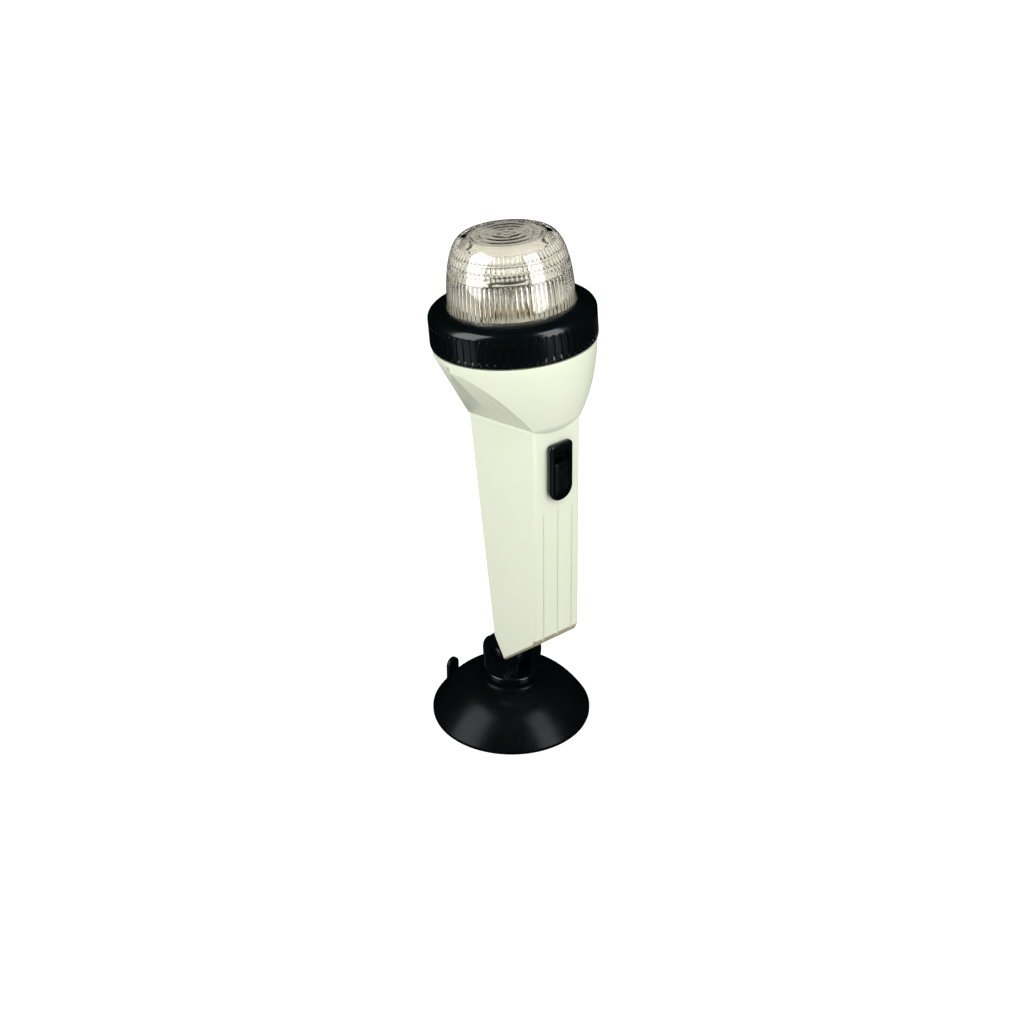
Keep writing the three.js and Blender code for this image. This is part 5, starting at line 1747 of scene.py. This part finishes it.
@dataclass
class LampUnit:
    """The lamp under the lens: its white carrier, brass socket, bulb and dark shield."""

    socket_radius: float = 5.6
    socket_wall: float = 0.6
    bulb_radius: float = 4.2
    glass_wall: float = 0.5
    shield_radius: float = 8.0
    post_radius: float = 0.8
    post_spread: float = 10.6
    wire_hole: float = 16.0

    def build(self) -> None:
        """Makes and dresses the lamp's pieces."""
        white = Placing(LAMP, "case", Slot.WHITE)
        brass = Placing(LAMP, "case", Slot.BRASS)
        white.piece("carrier_moulding", self.carrier(), "bulb_carrier")
        brass.piece("socket_shell", self.socket(), "bulb_socket")
        brass.piece("bulb_cap_shell", self.cap(), "bulb_cap")
        envelope = Placing(LAMP, "case", Slot.GLASS).piece("bulb_envelope", self.glass(), "bulb_glass")
        envelope.visible_shadow = False
        Placing(LAMP, "case", Slot.STEEL).piece("filament_coil", self.filament(), "bulb_filament")
        Placing(LAMP, "case", Slot.BLACK).piece("shield_disc", self.shield(), "glare_shield")

    def carrier(self) -> bmesh.types.BMesh:
        """The dished white carrier, with a stepped collar round the socket.

        Returns:
            The solid, in its local frame.
        """
        low, high = extent("bulb_carrier", LAMP)
        tube = self.socket_radius + FIT
        rim = high.x
        plate = high.z - 4.4
        profile = [
            (tube, low.z),
            (tube + 1.6, low.z),
            (tube + 1.6, plate),
            (rim - 0.3, plate),
            (rim, plate + 0.3),
            (rim, plate + 2),
            *curve([(rim - 1.2, plate + 2), (rim - 3, plate + 0.9), (tube + 9, plate + 1.1)], 8),
            *curve([(tube + 6, plate + 1.2), (tube + 4, plate + 1.9), (tube + 1.6, high.z)], 8),
            (tube, high.z),
        ]
        holes = [
            (Cut.TAKE, upright(self.post_radius + FIT, low.z, high.z + 5, side * self.post_spread, 0))
            for side in (-1, 1)
        ]
        wire = upright(1.0, low.z, high.z + 5, 0, self.wire_hole)
        return worked(turned(profile, 96), [*holes, (Cut.TAKE, wire)])

    def socket(self) -> bmesh.types.BMesh:
        """The brass socket, its rim rolled over.

        Returns:
            The solid, in its local frame.
        """
        low, high = extent("bulb_socket", LAMP)
        inner = self.socket_radius - self.socket_wall
        outer = self.socket_radius + 1
        step = high.z - 2.3
        rim = arc((outer - 0.5, high.z - 0.5), 0.5, 0, 90, 4)
        rim += arc((inner + 0.4, high.z - 0.4), 0.4, 90, 180, 4)
        profile = [
            (inner, low.z),
            (self.socket_radius, low.z),
            (self.socket_radius, step),
            (outer, step),
            *rim,
        ]
        return turned(profile, 64)

    def cap(self) -> bmesh.types.BMesh:
        """The bulb's brass cap, with a rolled bead under its rim.

        Returns:
            The solid, in its local frame.
        """
        low, high = extent("bulb_cap", LAMP)
        radius = high.x
        neck = radius - 1.1
        bead = arc((radius - 0.35, high.z - 1.2), 0.35, -80, 80, 6)
        profile = [
            (0, low.z),
            (2, low.z),
            *curve([(2.4, low.z + 0.2), (radius - 0.3, low.z + 0.9), (radius - 0.3, low.z + 1.8)], 5),
            *bead,
            (radius - 0.3, high.z),
            (neck, high.z),
            (neck, high.z - 1.4),
            (0, high.z - 1.4),
        ]
        return turned(profile, 48)

    def glass(self) -> bmesh.types.BMesh:
        """The bulb's envelope, open at the neck.

        Returns:
            The solid, in its local frame.
        """
        low, high = extent("bulb_glass", LAMP)
        middle = high.z - self.bulb_radius
        neck = extent("bulb_cap", LAMP)[1].x - 1.4
        outside = self.globe(self.bulb_radius, neck, middle)
        inside = self.globe(self.bulb_radius - self.glass_wall, neck - self.glass_wall, middle)
        return turned([*inside[::-1], (neck - self.glass_wall, low.z), (neck, low.z), *outside], 64)

    def globe(self, radius: float, neck: float, middle: float) -> list[Point]:
        """From the neck up round the globe to its top on the axis.

        Args:
            radius: the globe's radius.
            neck: the neck's radius.
            middle: the height of the globe's centre.

        Returns:
            The points from the neck up.
        """
        start = -math.degrees(math.acos(neck / radius))
        points = arc((0, middle), radius, start, 90, 24)
        return [*points[:-1], (0, middle + radius)]

    def filament(self) -> bmesh.types.BMesh:
        """Two legs and a fine coil between their tips.

        Returns:
            The solid, in its local frame.
        """
        low, high = extent("bulb_filament", LAMP)
        top = high.z - 0.35
        points = [Vector((-1.1, 0, low.z + 0.3)), Vector((-1.25, 0, top))]
        turns, steps = 5, 12
        for i in range(turns * steps + 1):
            angle = TURN * i / steps
            x = -1.1 + 2.2 * i / (turns * steps)
            points.append(Vector((x, 0.2 * math.sin(angle), top + 0.2 * math.cos(angle) - 0.2)))
        points += [Vector((1.25, 0, top)), Vector((1.1, 0, low.z + 0.3))]
        return tube(points, 0.1, 6)

    def shield(self) -> bmesh.types.BMesh:
        """The dark disc over the bulb, on two posts.

        Returns:
            The solid, in its local frame.
        """
        low, high = extent("glare_shield", LAMP)
        bottom = high.z - 1.2
        edge = self.shield_radius
        half = self.post_spread + 0.7
        disc = softened(turned([(0, bottom), (edge, bottom), (edge, high.z), (0, high.z)], 72), 0.3, 2, 60)
        bridge = softened(
            box((-half, half), (-1.2, 1.2), (bottom + 0.05, high.z - 0.05)),
            0.3,
            2,
        )
        posts = [
            (Cut.JOIN, upright(self.post_radius, low.z, bottom + 0.5, side * self.post_spread, 0))
            for side in (-1, 1)
        ]
        return worked(disc, [(Cut.JOIN, bridge), *posts])


@dataclass
class KeptPieces:
    """The pieces whose CAD shape is kept: they are dressed as their record's slots say."""

    softened_nodes: tuple[str, ...] = ("battery_tray", "switch_box", "top_contact_front", "top_contact_rear")

    def build(self) -> None:
        """Dresses each shown CAD node with its slot's material."""
        slots = {row["node"]: Slot(row["material_slot"]) for row in frame["record"]["subparts"]}
        for name, node in frame["nodes"].items():
            if node.hide_render:
                continue
            WARDROBE.dress(node, slots[name])
            if name in self.softened_nodes:
                rounding = node.modifiers.new("edges", "BEVEL")
                rounding.width = 0.3 * MM
                rounding.segments = 2
            LOG.info("%s: kept, in %s", name, slots[name].value)


# ---------------------------------------------------------------- studio


def outward(azimuth: float, elevation: float) -> Vector:
    """The direction out towards an azimuth and elevation, in degrees. Azimuth 0 is -Y and 90 is +X."""
    a, e = math.radians(azimuth), math.radians(elevation)
    return Vector((math.sin(a) * math.cos(e), -math.cos(a) * math.cos(e), math.sin(e)))


class Reach(Enum):
    """What a light is for: it shows in gloss, or it only fills."""

    GLOSS = "gloss"
    FILL = "fill"


@dataclass
class SoftBox:
    """A soft light that faces the object: angles in degrees, lengths in metres, power in watts."""

    name: str
    azimuth: float
    elevation: float
    distance: float
    width: float
    height: float
    power: float
    reach: Reach

    def build(self, aim: Vector) -> None:
        """Sets up the light.

        Args:
            aim: the point that it faces.
        """
        data = bpy.data.lights.new(self.name, "AREA")
        data.shape = "RECTANGLE"
        data.size = self.width
        data.size_y = self.height
        data.energy = self.power
        lamp = bpy.data.objects.new(self.name, data)
        out = outward(self.azimuth, self.elevation)
        lamp.location = aim + out * self.distance
        lamp.rotation_euler = (-out).to_track_quat("-Z", "Y").to_euler()
        lamp.visible_glossy = self.reach is Reach.GLOSS
        lamp.visible_transmission = self.reach is Reach.GLOSS
        lamp.visible_diffuse = self.reach is Reach.FILL
        bpy.context.scene.collection.objects.link(lamp)


@dataclass
class Studio:
    """A pale floor, soft lights and the camera."""

    azimuth: float = -39.1
    elevation: float = 31.3
    distance: float = 0.9
    aim_height: float = 0.1108
    lens: float = 69.1
    roll: float = math.radians(0.2)
    floor_size: float = 60.0
    floor_glow: float = 1.0
    floor_tone: float = 0.2
    floor_gap: float = 0.0002
    world: float = 0.62
    sensor: float = 36
    nearest: float = 0.01
    farthest: float = 50

    def build(self) -> None:
        """Sets up the floor, the lights, the world and the camera."""
        aim = Vector((0, 0, self.aim_height))
        self.set_floor()
        for light in self.lights():
            light.build(aim)
        world = bpy.data.worlds.new("studio")
        bpy.context.scene.world = world
        world.use_nodes = True
        background = world.node_tree.nodes["Background"]
        background.inputs["Color"].default_value = (1, 1, 1, 1)
        background.inputs["Strength"].default_value = self.world
        world.cycles_visibility.glossy = False
        bpy.context.scene.view_settings.view_transform = "Standard"
        self.set_camera(aim)

    def lights(self) -> list[SoftBox]:
        """The lights: four boxes that show in gloss, and three that only fill.

        Returns:
            The lights.
        """
        side = self.azimuth
        return [
            SoftBox("left_box", side - 66, 24, 0.9, 0.6, 1.0, 8.0, Reach.GLOSS),
            SoftBox("left_low", side - 66, -27, 0.9, 0.5, 0.4, 0.32, Reach.GLOSS),
            SoftBox("right_box", side + 54, 24, 0.9, 0.42, 1.0, 5.9, Reach.GLOSS),
            SoftBox("right_low", side + 52, -27, 0.9, 0.38, 0.4, 0.24, Reach.GLOSS),
            SoftBox("left_fill", side - 68, 32, 0.7, 0.7, 0.7, 4.0, Reach.FILL),
            SoftBox("right_fill", side + 45, 34, 0.7, 0.7, 0.7, 4.2, Reach.FILL),
            SoftBox("top_fill", side, 80, 1.2, 1.2, 1.2, 2, Reach.FILL),
        ]

    def set_floor(self) -> None:
        """The floor, a little below the cup's foot."""
        solid = bmesh.new()
        bmesh.ops.create_grid(solid, x_segments=8, y_segments=8, size=self.floor_size / 2)
        floor = loose_object(solid, "floor")
        floor.location.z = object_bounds()[0].z - self.floor_gap
        finish = WhiteFloor((self.floor_tone,) * 3, self.floor_glow)
        floor.data.materials.append(finish.make("floor_finish"))
        floor.visible_glossy = False
        floor.visible_diffuse = False
        floor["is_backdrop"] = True

    def set_camera(self, aim: Vector) -> None:
        """The camera, at its distance from the aim.

        Args:
            aim: the point that it looks at.
        """
        data = bpy.data.cameras.new("camera")
        data.lens = self.lens
        data.sensor_width = self.sensor
        data.clip_start = self.nearest
        data.clip_end = self.farthest
        camera = bpy.data.objects.new("camera", data)
        out = outward(self.azimuth, self.elevation)
        camera.location = aim + out * self.distance
        turn = (-out).to_track_quat("-Z", "Y").to_matrix().to_4x4() @ Matrix.Rotation(self.roll, 4, "Z")
        camera.rotation_euler = turn.to_euler()
        bpy.context.scene.collection.objects.link(camera)
        bpy.context.scene.camera = camera


def switch_frame() -> Matrix:
    """The switch's frame: on the front wall at the middle of the bezel, its Z up the wall.

    Returns:
        The matrix from the switch's frame to the row's frame.
    """
    tilted = millimetre_frame(Vector((0, 0, 0)), -WALL_LEAN)
    low, high = extent("switch_bezel", tilted)
    proud = extent("switch_box", tilted)[0].y - 2.3
    origin = tilted @ Vector((0, proud, (low.z + high.z) / 2))
    return millimetre_frame(origin, -WALL_LEAN)


SWITCH = switch_frame()


def main() -> None:
    """Builds the light and its studio."""
    for part in (
        SuctionCup(),
        HingeFork(),
        GripCase(),
        SlideSwitch(),
        ScrewRing(),
        DomeLens(),
        LampUnit(),
        KeptPieces(),
        Studio(),
    ):
        part.build()
        LOG.info("%s built", type(part).__name__)


if __name__ == "__main__":
    logging.basicConfig(level=logging.INFO, format="%(name)s %(message)s")
    main()
